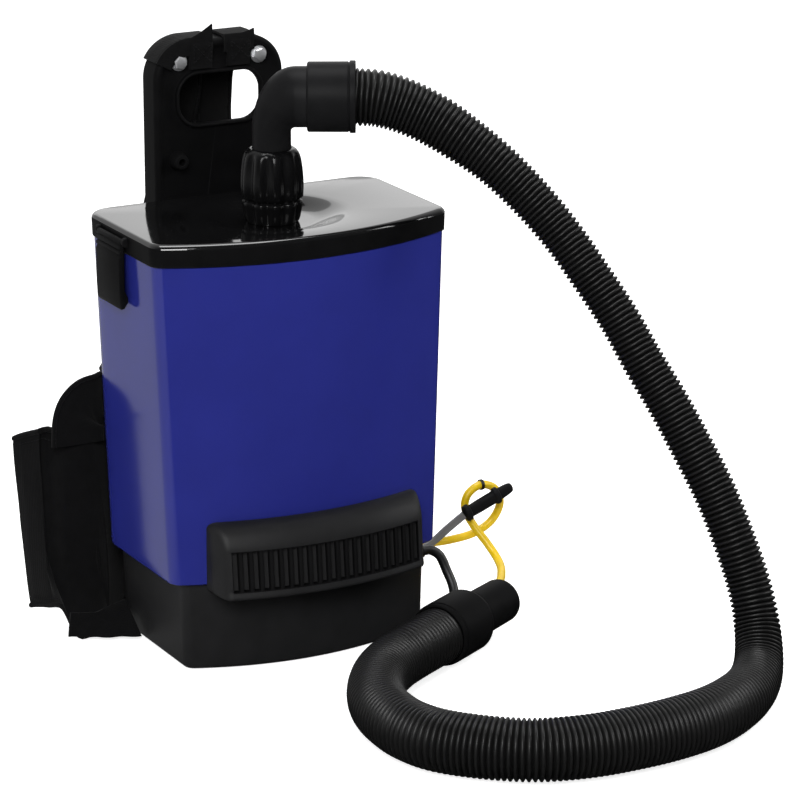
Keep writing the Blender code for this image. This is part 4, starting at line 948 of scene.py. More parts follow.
class VACUUM_OT_cords(bpy.types.Operator):
    """Builds the power cord and the switch lead with their strain reliefs, plug and switch"""

    bl_idname = "vacuum.cords"
    bl_label = "Cords"

    def execute(self, context):
        sizes = context.scene.vacuum_hose
        plug = self.plug(sizes.power_radius)
        self.gland("power_cord_relief", "power_cord_gland", POWER_ROUTE[0], sizes.power_radius)
        self.gland("switch_lead_relief", "switch_lead_gland", LEAD_ROUTE[0], sizes.lead_radius)
        repaint("matt", "switch_box", "switch_rocker")
        for node in ("switch_box", "switch_rocker"):
            soften(node, 0.0008)
        route, radius = POWER_ROUTE, sizes.power_radius
        made, path, length = tube("power_cord_flex", route, radius, "yellow", "power_cord")
        route, radius = LEAD_ROUTE, sizes.lead_radius
        made, path, length = tube("switch_lead_flex", route, radius, "rubber", "switch_lead")
        return {"FINISHED"}

    def gland(self, name, node, start, cord):
        """A tapered strain relief with a flange and six flex rings, on the base's side."""
        low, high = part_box(node)
        reach = high.x - low.x
        profile = [(0, cord + 0.0004), (0, 0.0085), (0.0036, 0.0085), (0.0044, 0.0070)]
        pitch = (reach - 0.0068) / 6
        for i in range(6):
            along = 0.0052 + (reach - 0.0068) * i / 6
            radius = 0.0064 - (0.0064 - cord - 0.0018) * i / 6
            groove = radius - 0.0009
            profile += [(along, radius), (along + pitch * 0.55, radius)]
            profile += [(along + pitch * 0.62, groove), (along + pitch * 0.95, groove)]
        profile += [(reach, cord + 0.0012), (reach, cord + 0.0004)]
        place = Matrix.Translation((low.x, start[1], start[2]))
        builder = revolve(rounded(profile, 0.0003, 2), place, 40)
        add_piece(name, builder, "rubber", "chassis", (node,))

    def plug(self, cord):
        """The moulded plug: a tapered collar, a ribbed grip and three flat brass pins."""
        place = Matrix.Translation(PLUG_AT) @ Matrix.Rotation(PLUG_ANGLE, 4, "Z")
        profile = [(0, cord + 0.0010), (0.0100, 0.0060), (0.0138, 0.0108)]
        for i in range(5):
            profile += [(0.0155 + 0.0032 * i, 0.0112), (0.0167 + 0.0032 * i, 0.0104)]
            profile.append((0.0175 + 0.0032 * i, 0.0112))
        profile += [(0.0345, 0.0112), (0.0360, 0.0100)]
        builder = revolve(profile, place, 40, closed=False)
        made = add_piece(
            "moulded_plug", builder, "yellow", "chassis", ("power_plug",), sharp=55
        )
        pins = bmesh.new()
        for offset, rise in ((-0.0055, 0.0035), (0.0055, 0.0035), (0.0, -0.0050)):
            rings = []
            for along, shrink in ((0.0358, 0.0), (0.0505, 0.0), (0.0516, 0.0003), (0.0520, 0.0007)):
                wide, tall = 0.0009 - shrink, 0.0022 - shrink
                corners = rounded([(-wide, -tall), (wide, -tall), (wide, tall), (-wide, tall)], 0.0004, 2)
                rings.append([place @ Vector((along, offset + a, rise + b)) for a, b in corners])
            skin(rings, into=pins)
        add_detail(made, "plug_pins", pins, "brass")
        return made


class VACUUM_OT_tub(bpy.types.Operator):
    """Moulds the blue tub and the base under it"""

    bl_idname = "vacuum.tub"
    bl_label = "Tub and base"

    def execute(self, context):
        self.tub()
        self.base()
        return {"FINISHED"}

    def tub(self):
        """The open tub: a round lower edge, straight sides that widen upwards and a hollow inside."""
        top = LID_TOP - LID_RIM - GAP
        rings = [tub_outline(BASE_HEIGHT, 0.0032, BASE_HEIGHT + GAP)]
        for a, b in quarter(5):
            level = BASE_HEIGHT + GAP + 0.0024 * (1 - a)
            rings.append(tub_outline(BASE_HEIGHT + 0.003, 0.0024 * (1 - b), level))
        for share in (0.03, 0.2, 0.4, 0.6, 0.8, 1.0):
            rings.append(tub_outline(BASE_HEIGHT + 0.003 + (top - BASE_HEIGHT - 0.003) * share))
        rings.append(tub_outline(top, 0.0030))
        rings.append(tub_outline(BASE_HEIGHT + 0.0040, 0.0030))
        add_piece("tub_shell", skin(rings), "tub", "chassis", ("body_shell",))

    def base(self):
        """The base, a little narrower than the tub, with a round foot."""
        levels = [(0.0, 0.0060)]
        levels += [(0.0055 * (1 - a), 0.0050 * (1 - b)) for a, b in quarter(6)]
        levels += [(0.04, 0.0), (BASE_HEIGHT - 0.0012, 0.0), (BASE_HEIGHT, 0.0010)]
        levels += [(BASE_HEIGHT, 0.0030), (0.0040, 0.0080)]
        rings = []
        for height, more in levels:
            rings.append(tub_outline(height, BASE_INSET + more, narrower=BASE_SIDE_INSET))
        add_piece("base_moulding", skin(rings), "base", "chassis", ("base_housing",))


def dish_height(share):
    """Height of the lid's dish from its rim, at share 0, to its floor, at share 1."""
    soft = share * share * (3 - 2 * share)
    return LID_TOP - 0.0002 - (LID_TOP - 0.0002 - DISH_FLOOR) * soft


def squashed_dish(radius, height):
    """A dish ring drawn in front to back, so that it stays inside the lid's edge."""
    share = min(1.0, max(0.0, (radius - DISH_FLAT) / (DISH_RADIUS - DISH_FLAT)))
    squash = 1.0 - 0.04 * share
    return [(x, INLET_Y + (y - INLET_Y) * squash, z) for x, y, z in dish_ring(radius, height)]


class VACUUM_OT_lid(bpy.types.Operator):
    """Moulds the dished lid with its hinge lugs and the two side latches"""

    bl_idname = "vacuum.lid"
    bl_label = "Lid and latches"

    def execute(self, context):
        sizes = context.scene.vacuum_tub
        low = LID_TOP - LID_RIM
        out = sizes.overhang
        round_off = sizes.edge_round
        rings = [tub_outline(low, 0.0030), tub_outline(low, 0.0006 - out)]
        rings += [tub_outline(low + 0.0006, -out), tub_outline(low + 0.004, -out)]
        rings.append(tub_outline(LID_TOP - round_off, -out))
        for a, b in quarter(8)[1:]:
            height = LID_TOP - round_off * (1 - b)
            rings.append(tub_outline(LID_TOP - round_off * 0.3, round_off * (1 - a) - out, height))
        rings.append(squashed_dish(DISH_RADIUS + 0.004, LID_TOP))
        for i in range(13):
            share = i / 12
            radius = DISH_RADIUS + 0.002 - (DISH_RADIUS + 0.002 - DISH_FLAT) * share
            rings.append(squashed_dish(radius, dish_height(share)))
        under = DISH_FLOOR - LID_WALL
        rings += [dish_ring(INLET_BORE, DISH_FLOOR), dish_ring(INLET_BORE, under)]
        rings += [squashed_dish(DISH_RADIUS, under), tub_outline(low, 0.0030, under)]
        builder = skin(rings, closed=True)
        lid = add_piece("lid_moulding", builder, "lid", "chassis", ("lid",), sharp=50)
        # The lid's upright rim is duller than its polished top.
        lid.data.materials.append(finish("matt"))
        for face in lid.data.polygons:
            face.material_index = int(abs(face.normal.z) < 0.35)

        face = tub_measures(LATCH_AXIS[2])[0] + out
        for side, name in SIDES:
            lugs = bmesh.new()
            for start in (LATCH_START - 0.0049, LATCH_START + LATCH_LENGTH + 0.0004):
                self.lug(lugs, side, face, start)
            add_piece(f"latch_lugs_{name}", lugs, "matt", "chassis")
            self.latch(side, name, face)
        return {"FINISHED"}

    def lug(self, builder, side, face, start):
        """One rounded hinge lug at the lid's rim."""
        axis_z = LATCH_AXIS[2]
        outline = [(-0.0012, -0.0045), (0.0030, -0.0040), (0.0052, 0.0), (0.0040, 0.0034), (-0.0012, 0.0045)]
        outline = rounded([(face + out, axis_z + rise) for out, rise in outline], 0.0018)
        rings = []
        for y, shrink in ((0, 0.0007), (0.0006, 0.0), (0.0039, 0.0), (0.0045, 0.0007)):
            middle = Vector((face + 0.0020, axis_z))
            ring = []
            for point in outline:
                away = Vector(point) - middle
                away = away * (1 - shrink / max(away.length, 1e-6))
                ring.append((side * (middle.x + away.x), start + y, middle.y + away.y))
            rings.append(ring)
        skin(rings, into=builder)

    def latch(self, side, name, face):
        """A flat latch: a ridged knuckle, a plain plate and a lower end that turns in to the tub."""
        axis_z = LATCH_AXIS[2]
        inner = face + GAP
        outer = face + 0.0056
        bottom = LID_TOP - 0.069
        shell = tub_measures(bottom + 0.01)[0]
        profile = [(inner + 0.0002, axis_z - 0.0010)]
        for i in range(7):
            t = math.radians(180 - 30 * i)
            profile.append((LATCH_AXIS[0] + 0.0024 * math.cos(t), axis_z + 0.0024 * math.sin(t)))
        for ridge in (0.0050, 0.0095):
            profile += [(outer - 0.0012, axis_z - ridge + 0.0022), (outer + 0.0006, axis_z - ridge + 0.0006)]
            profile += [(outer + 0.0006, axis_z - ridge - 0.0012), (outer - 0.0010, axis_z - ridge - 0.0020)]
        profile += [(outer + 0.0008, axis_z - 0.0150), (outer + 0.0008, bottom + 0.016)]
        profile += [(outer + 0.0002, bottom + 0.003), (outer - 0.0010, bottom)]
        profile += [(outer - 0.0040, bottom + 0.0004), (shell + 0.0014, bottom + 0.005)]
        profile += [(shell + 0.0014, bottom + 0.010), (inner + 0.0006, bottom + 0.016)]
        rings = []
        middle = Vector((outer - 0.0020, (axis_z + bottom) / 2))
        ends = [(0, 0.0009), (0.0003, 0.0003), (0.0010, 0)]
        ends += [(LATCH_LENGTH - y, shrink) for y, shrink in reversed(ends)]
        for y, shrink in ends:
            ring = []
            for point in profile:
                away = Vector(point) - middle
                away.x -= math.copysign(min(shrink, abs(away.x)), away.x)
                away.y -= math.copysign(min(shrink, abs(away.y)), away.y)
                ring.append((side * (middle.x + away.x), LATCH_START + y, middle.y + away.y))
            rings.append(ring)
        node = f"latch_{name}"
        add_piece(f"side_{node}", skin(rings), "matt", f"latch_{name[0]}", (node,), sharp=50)


class VACUUM_OT_vent(bpy.types.Operator):
    """Moulds the exhaust cover: a hood over upright slats with deep slots between them"""

    bl_idname = "vacuum.vent"
    bl_label = "Exhaust cover"

    def execute(self, context):
        sizes = context.scene.vacuum_tub
        half = VENT_HALF
        pitch = 2 * (half - VENT_PLAIN_END) / sizes.slots
        wide = sizes.slot_width / 2
        # Distance past the slot's edge and share of its depth, from the slat's face into the slot.
        flank = [(0.0007, 0), (0.0002, 0.06), (0.0, 0.22), (-0.0003, 1.0)]
        stations = [(-half + d, 0.0) for d in (0.0, 0.0006, 0.0016, 0.0032, 0.0055, 0.008)]
        for i in range(sizes.slots):
            middle = pitch * (i - (sizes.slots - 1) / 2)
            stations += [(middle - (wide + past), deep) for past, deep in flank]
            stations += [(middle + (wide + past), deep) for past, deep in reversed(flank)]
        stations += [(-x, deep) for x, deep in reversed(stations[:6])]
        rings = [self.section(x, deep * sizes.slot_depth, half) for x, deep in stations]
        node = "exhaust_vent_cover"
        hood = add_piece("exhaust_hood", skin(rings), "base", "chassis", (node,), sharp=45)
        # The slats and the slots between them take the matt finish: duller, as the deep mould leaves them,
        # and darker in colour, which is painted shade for the deep slots.
        hood.data.materials.append(finish("matt"))
        for face in hood.data.polygons:
            if SLATS_FOOT < face.center.z < SLATS_HEAD and abs(face.center.x) < half - VENT_PLAIN_END:
                face.material_index = 1
        return {"FINISHED"}

    def section(self, x, deep, half):
        """One upright slice of the cover at an X, with the slot's depth there."""
        hood = [(0.1380, 0.0026), (0.1374, 0.0052), (0.1362, 0.0082), (0.1345, 0.0112), (0.1318, 0.0145)]
        hood += [(0.1285, 0.0174), (0.1240, 0.0200), (0.1205, 0.0215), (0.1180, 0.0222), (0.1168, 0.0224)]
        slats = [(0.1160, 0.0225), (0.1156, 0.0226), (0.1148, 0.0227), (0.1060, 0.0236), (0.0960, 0.0246)]
        slats += [(0.0860, 0.0256), (0.0822, 0.0260), (0.0814, 0.0261), (0.0810, 0.0262)]
        lip = [(0.0802, 0.0264), (0.0780, 0.0272), (0.0762, 0.0279), (0.0750, 0.0280), (0.0742, 0.0274)]
        lip.append((0.0740, 0.0262))
        # The cover's two ends fall back and draw in over their last few millimetres.
        end = 0.009
        near = max(0.0, abs(x) - (half - end)) / end
        ends = 1.0 - 0.55 * near**2
        fall = 0.0055 * (1.0 - math.sqrt(1.0 - min(near, 1.0) ** 2))
        points = []
        rows = list(hood)
        for k, (z, reach) in enumerate(slats):
            share = min(1.0, k / 2, (len(slats) - 1 - k) / 2)
            rows.append((z, reach - deep * share))
        rows += lip + [(0.0740, 0.0), (0.1380, 0.0)]
        middle, tall = 0.106, 0.032
        for z, reach in rows:
            level = middle + (z - middle) * (1.0 - fall / tall)
            points.append((x, front_y(x, level) - GAP - reach * ends, level))
        return points


class VACUUM_OT_inlet(bpy.types.Operator):
    """Moulds the lobed swivel collar, the elbow and the hose cuff"""

    bl_idname = "vacuum.inlet"
    bl_label = "Collar, elbow and cuff"

    def execute(self, context):
        self.collar(context.scene.vacuum_tub.lobes)
        self.elbow()
        self.cuff()
        return {"FINISHED"}

    def collar(self, lobes):
        """The collar: lobes for the hand with a groove round them, and a round top over the bore."""
        foot, top = DISH_FLOOR + GAP, COLLAR_TOP
        # Height over the foot and how far the collar's side lies inside its widest line.
        shape = [(0.0, -0.0050), (0.0012, -0.0041), (0.004, -0.0031), (0.009, -0.0021), (0.0150, -0.0012)]
        shape += [(0.0175, -0.0009), (0.0186, -0.0014), (0.0192, -0.0028), (0.0200, -0.0034)]
        shape += [(0.0208, -0.0028), (0.0214, -0.0012), (0.0226, -0.0004), (0.030, 0.0), (0.036, 0.0)]
        shape += [(0.042, -0.0003), (0.049, -0.0010), (0.055, -0.0019), (0.0590, -0.0030), (0.0615, -0.0042)]
        shape = [(foot + rise, less) for rise, less in shape]
        shape += [(top - 0.0020, -0.0058), (top - 0.0006, -0.0076), (top, -0.0092)]
        steps = 14
        count = lobes * steps
        rings = []
        for height, less in shape:
            ring = []
            # The valleys between the lobes run out towards the top and the foot.
            flat = min(1.0, max(0.0, (top - 0.0010 - height) / 0.006))
            flat *= min(1.0, (height - foot) / 0.003 + 0.35)
            for i, (a, b) in enumerate(circle(count)):
                valley = VALLEY_DEPTH * flat * (0.5 - 0.5 * math.cos(math.tau * i / steps)) ** 1.6
                radius = COLLAR_RADIUS + less - valley
                ring.append((radius * a, INLET_Y + radius * b, height))
            rings.append(ring)
        for radius, height in ((0.0175, top), (0.0175, 0.3995), (INLET_BORE, 0.3995), (INLET_BORE, foot)):
            rings.append([(radius * a, INLET_Y + radius * b, height) for a, b in circle(count)])
        builder = skin(rings, closed=True)
        add_piece("grip_collar", builder, "collar", "chassis", ("swivel_collar",), sharp=50)

    def elbow(self):
        """The hollow elbow: a round neck that bends over and widens into its arm."""
        neck, arm, bend = 0.0170, 0.0265, 0.004
        bend_x, bend_z = neck + bend, -arm - bend
        sections = [((0, 0.400 - ARM_HEIGHT), (-neck, 0), neck)]
        for i, (a, b) in enumerate(quarter(32)):
            inner = Vector((bend_x - bend * a, bend_z + bend * b))
            outer = Vector((bend_x - (bend + 2 * neck) * a, bend_z + (bend + 2 * arm) * b))
            sections.append(((inner + outer) / 2, (outer - inner) / 2, neck + (arm - neck) * i / 32))
        sections.append(((0.0393, 0), (0, arm), arm))
        outside = [self.elbow_ring(middle, half, deep, 0.0) for middle, half, deep in sections]
        inside = [self.elbow_ring(middle, half, deep, 0.0030) for middle, half, deep in reversed(sections)]
        builder = skin(outside + inside, closed=True)
        add_piece("swivel_elbow", builder, "satin", "elbow", ("hose_elbow",))

    def cuff(self):
        """The cuff over the end of the elbow's arm, with a groove before its end bead."""
        cuff = [(0.0310, 0.0290), (0.0322, 0.0304), (0.0665, 0.0305), (0.0669, 0.0299), (0.0677, 0.0299)]
        cuff += [(0.0681, 0.0314), (0.0730, 0.0313), (0.0730, 0.0258), (0.0700, 0.0258), (0.0700, 0.0210)]
        cuff += [(0.0398, 0.0210), (0.0398, 0.0270), (0.0310, 0.0270)]
        builder = revolve(rounded(cuff, 0.0007), arm_place(), count=96)
        add_piece("elbow_cuff", builder, "satin", "elbow", ("hose_cuff",))

    def elbow_ring(self, middle, half, deep, wall):
        """One oval section of the elbow in its own upright plane, drawn in by a wall."""
        middle, half = Vector(middle), Vector(half)
        share = (half.length - wall) / half.length
        place = arm_place()
        ring = []
        for a, b in circle(48):
            reach = half * (a * share)
            ring.append(place @ Vector((middle.x + reach.x, (deep - wall) * b, middle.y + reach.y)))
        return ring


def forward_place(x, y, z):
    """Placement whose X points to the front, away from the wearer."""
    return Matrix.Translation((x, y, z)) @ Matrix.Rotation(-math.pi / 2, 4, "Z")


def fan_ring(inside, y):
    """A ring on a fan of rays from the hand grip's middle, out to where the test of x and z stops holding."""
    angles = [2.0 * i for i in range(180)]
    # Closer rays round the plate's two lower corners.
    angles += [side + 0.25 * i for side in (261.0, 276.0) for i in range(1, 12) if i % 8]
    ring = []
    for angle in sorted(angles):
        ray = (math.cos(math.radians(angle)), math.sin(math.radians(angle)))
        near, far = 0.0, 0.6
        for _ in range(36):
            reach = (near + far) / 2
            if inside(ray[0] * reach, GRIP_HEIGHT + ray[1] * reach):
                near = reach
            else:
                far = reach
        ring.append((ray[0] * near, y, GRIP_HEIGHT + ray[1] * near))
    return ring


def plate_ring(inset, y):
    """The plate's upright outline drawn in by an inset, with round shoulders and small lower corners."""

    def inside(x, z):
        share = (z - PLATE_BOTTOM) / (PLATE_TOP - PLATE_BOTTOM)
        half = PLATE_HALF + (PLATE_TOP_HALF - PLATE_HALF) * share - inset
        top, low = PLATE_TOP - inset, PLATE_BOTTOM + inset
        corner = PLATE_SHOULDER - inset if z > GRIP_HEIGHT else PLATE_FOOT - inset
        over = abs(x) - half + corner
        past = max(z - top + corner, low + corner - z)
        if over > 0 and past > 0:
            return math.hypot(over, past) < corner
        return over < corner and past < corner

    return fan_ring(inside, y)


def grip_ring(grow, y):
    """The hand grip's rounded edge, grown by a margin."""
    half, tall, corner = (value + grow for value in GRIP)

    def inside(x, z):
        over = max(abs(x) - half + corner, 0.0)
        past = max(abs(z - GRIP_HEIGHT) - tall + corner, 0.0)
        return math.hypot(over, past) < corner

    return fan_ring(inside, y)


class VACUUM_OT_plate(bpy.types.Operator):
    """Moulds the harness plate with its edge bead, hand grip and bosses, and its bolts and standoffs"""

    bl_idname = "vacuum.plate"
    bl_label = "Harness plate"

    def execute(self, context):
        self.plate()
        for side, name in SIDES:
            self.bolt(side, name)
            for level in ("lower", "upper"):
                self.spacer(f"{level}_{name}")
        return {"FINISHED"}

    def plate(self):
        """The plate: a rim round the hand grip, a bead along its edge, flanges and four hollow bosses."""
        skin_back = PLATE_FRONT + 0.003
        rings = [grip_ring(0.0, skin_back), grip_ring(0.0, PLATE_FRONT - 0.0028)]
        for grow, lift in ((0.0004, 0.0036), (0.0010, 0.0040), (0.0020, 0.0040), (0.0026, 0.0036)):
            rings.append(grip_ring(grow, PLATE_FRONT - lift))
        rings += [grip_ring(0.0030, PLATE_FRONT - 0.0028), grip_ring(0.0033, PLATE_FRONT - 0.0004)]
        rings.append(grip_ring(0.0042, PLATE_FRONT))
        bead = [(0.0088, 0.0), (0.0078, 0.0006), (0.0064, 0.0016), (0.0050, 0.0021), (0.0036, 0.0021)]
        bead += [(0.0020, 0.0014), (0.0008, 0.0002), (0.0001, -0.0016), (0.0, -0.0030)]
        rings += [plate_ring(inset, PLATE_FRONT - lift) for inset, lift in bead]
        rings += [plate_ring(0.0, PLATE_BACK - 0.0010), plate_ring(0.0008, PLATE_BACK)]
        rings += [plate_ring(0.0034, PLATE_BACK), plate_ring(0.0040, PLATE_BACK - 0.0008)]
        rings.append(plate_ring(0.0040, skin_back))
        builder = skin(rings, closed=True)
        boss = [(-0.0010, 0.0090), (0.0004, 0.0087), (0.0014, 0.0082), (0.0088, 0.0067), (0.0098, 0.0061)]
        boss += [(0.0100, 0.0054), (0.0100, 0.0034), (0.0092, 0.0028), (0.0030, 0.0026), (-0.0010, 0.0024)]
        for side in (-1, 1):
            for height in BOSS_HEIGHTS:
                revolve(boss, forward_place(side * BOSS_X, PLATE_FRONT, height), 36, into=builder)
        add_piece("harness_plate", builder, "matt", "chassis", ("back_plate",), sharp=32)

    def bolt(self, side, name):
        """A bright bolt: a washer and a six-sided head."""
        place = forward_place(side * BOLT_X, PLATE_FRONT - GAP, BOLT_HEIGHT)
        builder = bmesh.new()
        washer = [(0, 0.0030), (0, 0.0072), (0.0007, 0.0078), (0.0013, 0.0074), (0.0016, 0.0030)]
        revolve(washer, place, 40, into=builder)
        head = [(0.0012, 0.0062), (0.0046, 0.0062), (0.0056, 0.0055), (0.0059, 0.0040), (0.0061, 0.0016)]
        revolve(head, place @ Matrix.Rotation(0.3 * side, 4, "X"), 6, closed=False, into=builder)
        node = f"strap_bolt_{name}"
        add_piece(f"hex_bolt_{name}", builder, "chrome", "chassis", (node,), sharp=28)

    def spacer(self, name):
        """A waisted spacer between the tub and the plate."""
        node = f"standoff_{name}"
        low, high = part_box(node)
        middle = (low + high) / 2
        long = high.y - low.y
        profile = [(0, 0.0060), (0, 0.0094), (0.0006, 0.0100), (0.0026, 0.0098), (0.0044, 0.0082)]
        profile += [(long / 2, 0.0080)] + [(long - along, radius) for along, radius in reversed(profile)]
        builder = revolve(profile, forward_place(middle.x, high.y, middle.z), 40)
        add_piece(f"spacer_{name}", builder, "matt", "chassis", (node,))


def tape_edge(width, thick):
    """The outline of a flat woven tape: a thin band with round edges."""
    half, out = width / 2, thick / 2
    upper = [(-half, 0.0), (-half + out * 0.3, out * 0.7), (-half + out, out)]
    upper += [(half * k / 4, out) for k in range(-3, 4)]
    upper += [(half - out, out), (half - out * 0.3, out * 0.7)]
    return upper + [(-a, -b) for a, b in upper]


class VACUUM_OT_loops(bpy.types.Operator):
    """Sews the two webbing loops over the plate's top bar, with their pointed cut ends"""

    bl_idname = "vacuum.loops"
    bl_label = "Strap loops"

    def execute(self, context):
        sizes = context.scene.vacuum_harness
        thick = sizes.web_thickness
        front, back = PLATE_FRONT - 0.0018, PLATE_BACK + 0.0020
        rest = [(front, 0.4955), (front, 0.5010), (front - 0.0010, 0.5090), (front - 0.0020, 0.5140)]
        rest += [(front - 0.0015, 0.5190), (front + 0.0018, 0.5226), (front + 0.0060, 0.5230)]
        rest += [((front + back) / 2, 0.5228), (back - 0.0050, 0.5230), (back - 0.0012, 0.5222)]
        rest += [(back, 0.5190), (back, 0.5060), (back, 0.4950), (back + 0.0004, 0.4850)]
        for side, name in SIDES:
            path = smooth_route([(side * LOOP_SPACING, y, z) for y, z in rest], 0.0015)
            builder = sweep(path, [(1, 0, 0)] * len(path), tape_edge(sizes.web_width, thick))
            self.wrap(builder, side, thick)
            node = f"strap_loop_{name}"
            loop = add_piece(
                f"webbing_loop_{name}", builder, "webbing", "chassis", (node,), sharp=60
            )
            rows = bmesh.new()
            face = front - thick / 2 - 0.0036
            for share in (-0.36, 0.36):
                x = side * LOOP_SPACING + sizes.web_width * share
                sew(rows, [(x, face, z) for z in (0.5010, 0.5200)], [(0, -1, 0)] * 2, sizes.stitch)
            for tilt in (-1, 1):
                x = side * LOOP_SPACING
                line = [(x - tilt * 0.0080, face, 0.5020), (x + tilt * 0.0080, face, 0.5180)]
                sew(rows, line, [(0, -1, 0)] * 2, sizes.stitch)
            add_detail(loop, f"loop_stitches_{name}", rows, "thread")
        return {"FINISHED"}

    def wrap(self, builder, side, thick):
        """The tape folded over the bar: it follows the top edge and rises to its slanted, cut-off end."""
        corner = (PLATE_TOP_HALF - PLATE_SHOULDER, PLATE_TOP - PLATE_SHOULDER)
        rings = []
        if side < 0:
            turns = [math.radians(152 - 62 * i / 20) for i in range(21)]
            outs = [(math.cos(t), math.sin(t)) for t in turns]
            edge = [(-corner[0] + PLATE_SHOULDER * a, corner[1] + PLATE_SHOULDER * b, a, b) for a, b in outs]
            edge += [(-corner[0] + 0.0215 * i / 8, PLATE_TOP, 0.0, 1.0) for i in range(1, 9)]
            rises = [0.0034 + 0.0110 * max(0.0, (i - 20) / 8) ** 1.3 for i in range(29)]
        else:
            edge = [(0.0045 + 0.0290 * i / 16, PLATE_TOP, 0.0, 1.0) for i in range(17)]
            rises = [0.0034 + 0.0034 * max(0.0, (i - 9) / 7) ** 1.3 for i in range(17)]
        front, back = PLATE_FRONT - 0.0038, PLATE_BACK + 0.0038
        for (x, z, out_x, out_z), rise in zip(edge, rises):
            # The end stands up as a fin on the front side only.
            outer = [(front, -0.0125), (front - 0.0006, -0.0060), (front - 0.0003, rise - 0.0016)]
            outer += [(front + 0.0004, rise), (front + 0.0016, rise - 0.0004), (front + 0.0030, 0.0034)]
            outer += [(front + 0.0060, 0.0030), ((front + back) / 2, 0.0034), (back - 0.0040, 0.0030)]
            outer += [(back - 0.0012, 0.0020), (back, -0.0020), (back, -0.0125)]
            inner = [(back - thick, -0.0125), (back - thick, -0.0010), (back - 0.0045, 0.0010)]
            inner += [((front + back) / 2, 0.0012), (front + 0.0060, 0.0010), (front + thick, -0.0010)]
            inner += [(front + thick, -0.0125)]
            rings.append([(x + out_x * r, y, z + out_z * r) for y, r in outer + inner])
        skin(rings, into=builder)


def strap_edge(width, thick):
    """The outline of a padded strap: a crowned middle between two bound edges and their sewn grooves."""
    half = width / 2
    rows = [(0.0, 0.0), (0.0003, 0.52), (0.0011, 0.82), (0.0022, 0.90), (0.0032, 0.78), (0.0039, 0.46)]
    rows += [(0.0050, 0.72), (0.0080, 0.94), (0.0120, 1.04)]
    left = [(-half + inset, thick / 2 * share) for inset, share in rows]
    upper = left + [(0.0, thick / 2 * 1.1)] + [(-a, b) for a, b in reversed(left[1:])]
    return upper + [(-a, -b) for a, b in upper]


class VACUUM_OT_straps(bpy.types.Operator):
    """Makes the two padded shoulder straps with bound and stitched edges"""

    bl_idname = "vacuum.straps"
    bl_label = "Shoulder straps"

    def execute(self, context):
        sizes = context.scene.vacuum_harness
        for name, route in (("left", LEFT_STRAP_ROUTE), ("right", RIGHT_STRAP_ROUTE)):
            line = smooth_route(route, 0.0030)
            tangents = unit_tangents(line)
            wide = np.cross(tangents, (0, 1, 0))
            wide /= np.linalg.norm(wide, axis=1)[:, None]
            out = np.cross(wide, tangents)
            # Slow dents, as in a foam strap that has been worn.
            along = np.linspace(0, 1, len(line))
            line += out * (0.0007 * np.sin(along * 41.0) * np.sin(along * 17.0))[:, None]
            # The left strap spreads where it comes down on the belt.
            spread = np.zeros(len(line))
            if name == "left":
                spread = 0.016 * np.clip((along - 0.62) / 0.2, 0, 1)
            line += wide * (spread / 2)[:, None]

            def edge_at(share):
                more = np.interp(share, along, spread)
                return strap_edge(sizes.strap_width + more, sizes.strap_thickness)

            builder = sweep(line, wide, edge_at)
            node = f"shoulder_strap_{name}"
            strap = add_piece(
                f"padded_strap_{name}", builder, "cloth", "chassis", (node,), sharp=60
            )
            rows = bmesh.new()
            for edge in (-1, 1):
                for face in (-1, 1):
                    reach = (sizes.strap_width + spread) / 2 - 0.0028
                    row = line + wide * (edge * reach)[:, None] + out * (face * sizes.strap_thickness * 0.42)
                    sew(rows, row, out * face, sizes.stitch)
            add_detail(strap, f"strap_stitches_{name}", rows, "thread")
        return {"FINISHED"}


def wing_rows(columns, thick, shares):
    """A belt wing's rows at shares of its height: middle places, the way out of its front, half thickness."""
    path = smooth_route(columns, 0.0030)
    plan = np.column_stack([path[:, 0], (path[:, 1] + path[:, 2]) / 2])
    tangents = unit_tangents(plan)
    normals = np.column_stack([-tangents[:, 1], tangents[:, 0], np.zeros(len(plan))])
    rows = []
    ends = np.minimum(1.0, np.minimum(np.arange(len(path)), np.arange(len(path))[::-1]) / 5.0)
    for share in shares:
        crown = thick / 2 * (0.30 + 0.70 * math.sin(math.pi * share) ** 0.5) * (0.4 + 0.6 * ends)
        drawn_in = 0.5 * np.maximum(0.0, np.abs(path[:, 0]) - 0.170) * (1 - share)
        x = path[:, 0] - np.copysign(drawn_in, path[:, 0])
        y = path[:, 1] + (path[:, 2] - path[:, 1]) * share
        turn = min(1.0, share / 0.36)
        hang = np.interp(-path[:, 0], HANG_LEFT, HANG_BACK)
        back = np.maximum(0.0, hang - y) * turn * turn * (3 - 2 * turn)
        z = path[:, 3] + (path[:, 4] - path[:, 3]) * share - 0.27 * back
        place = np.column_stack([x, y + back, z])
        rows.append((place, normals, crown))
    return rows


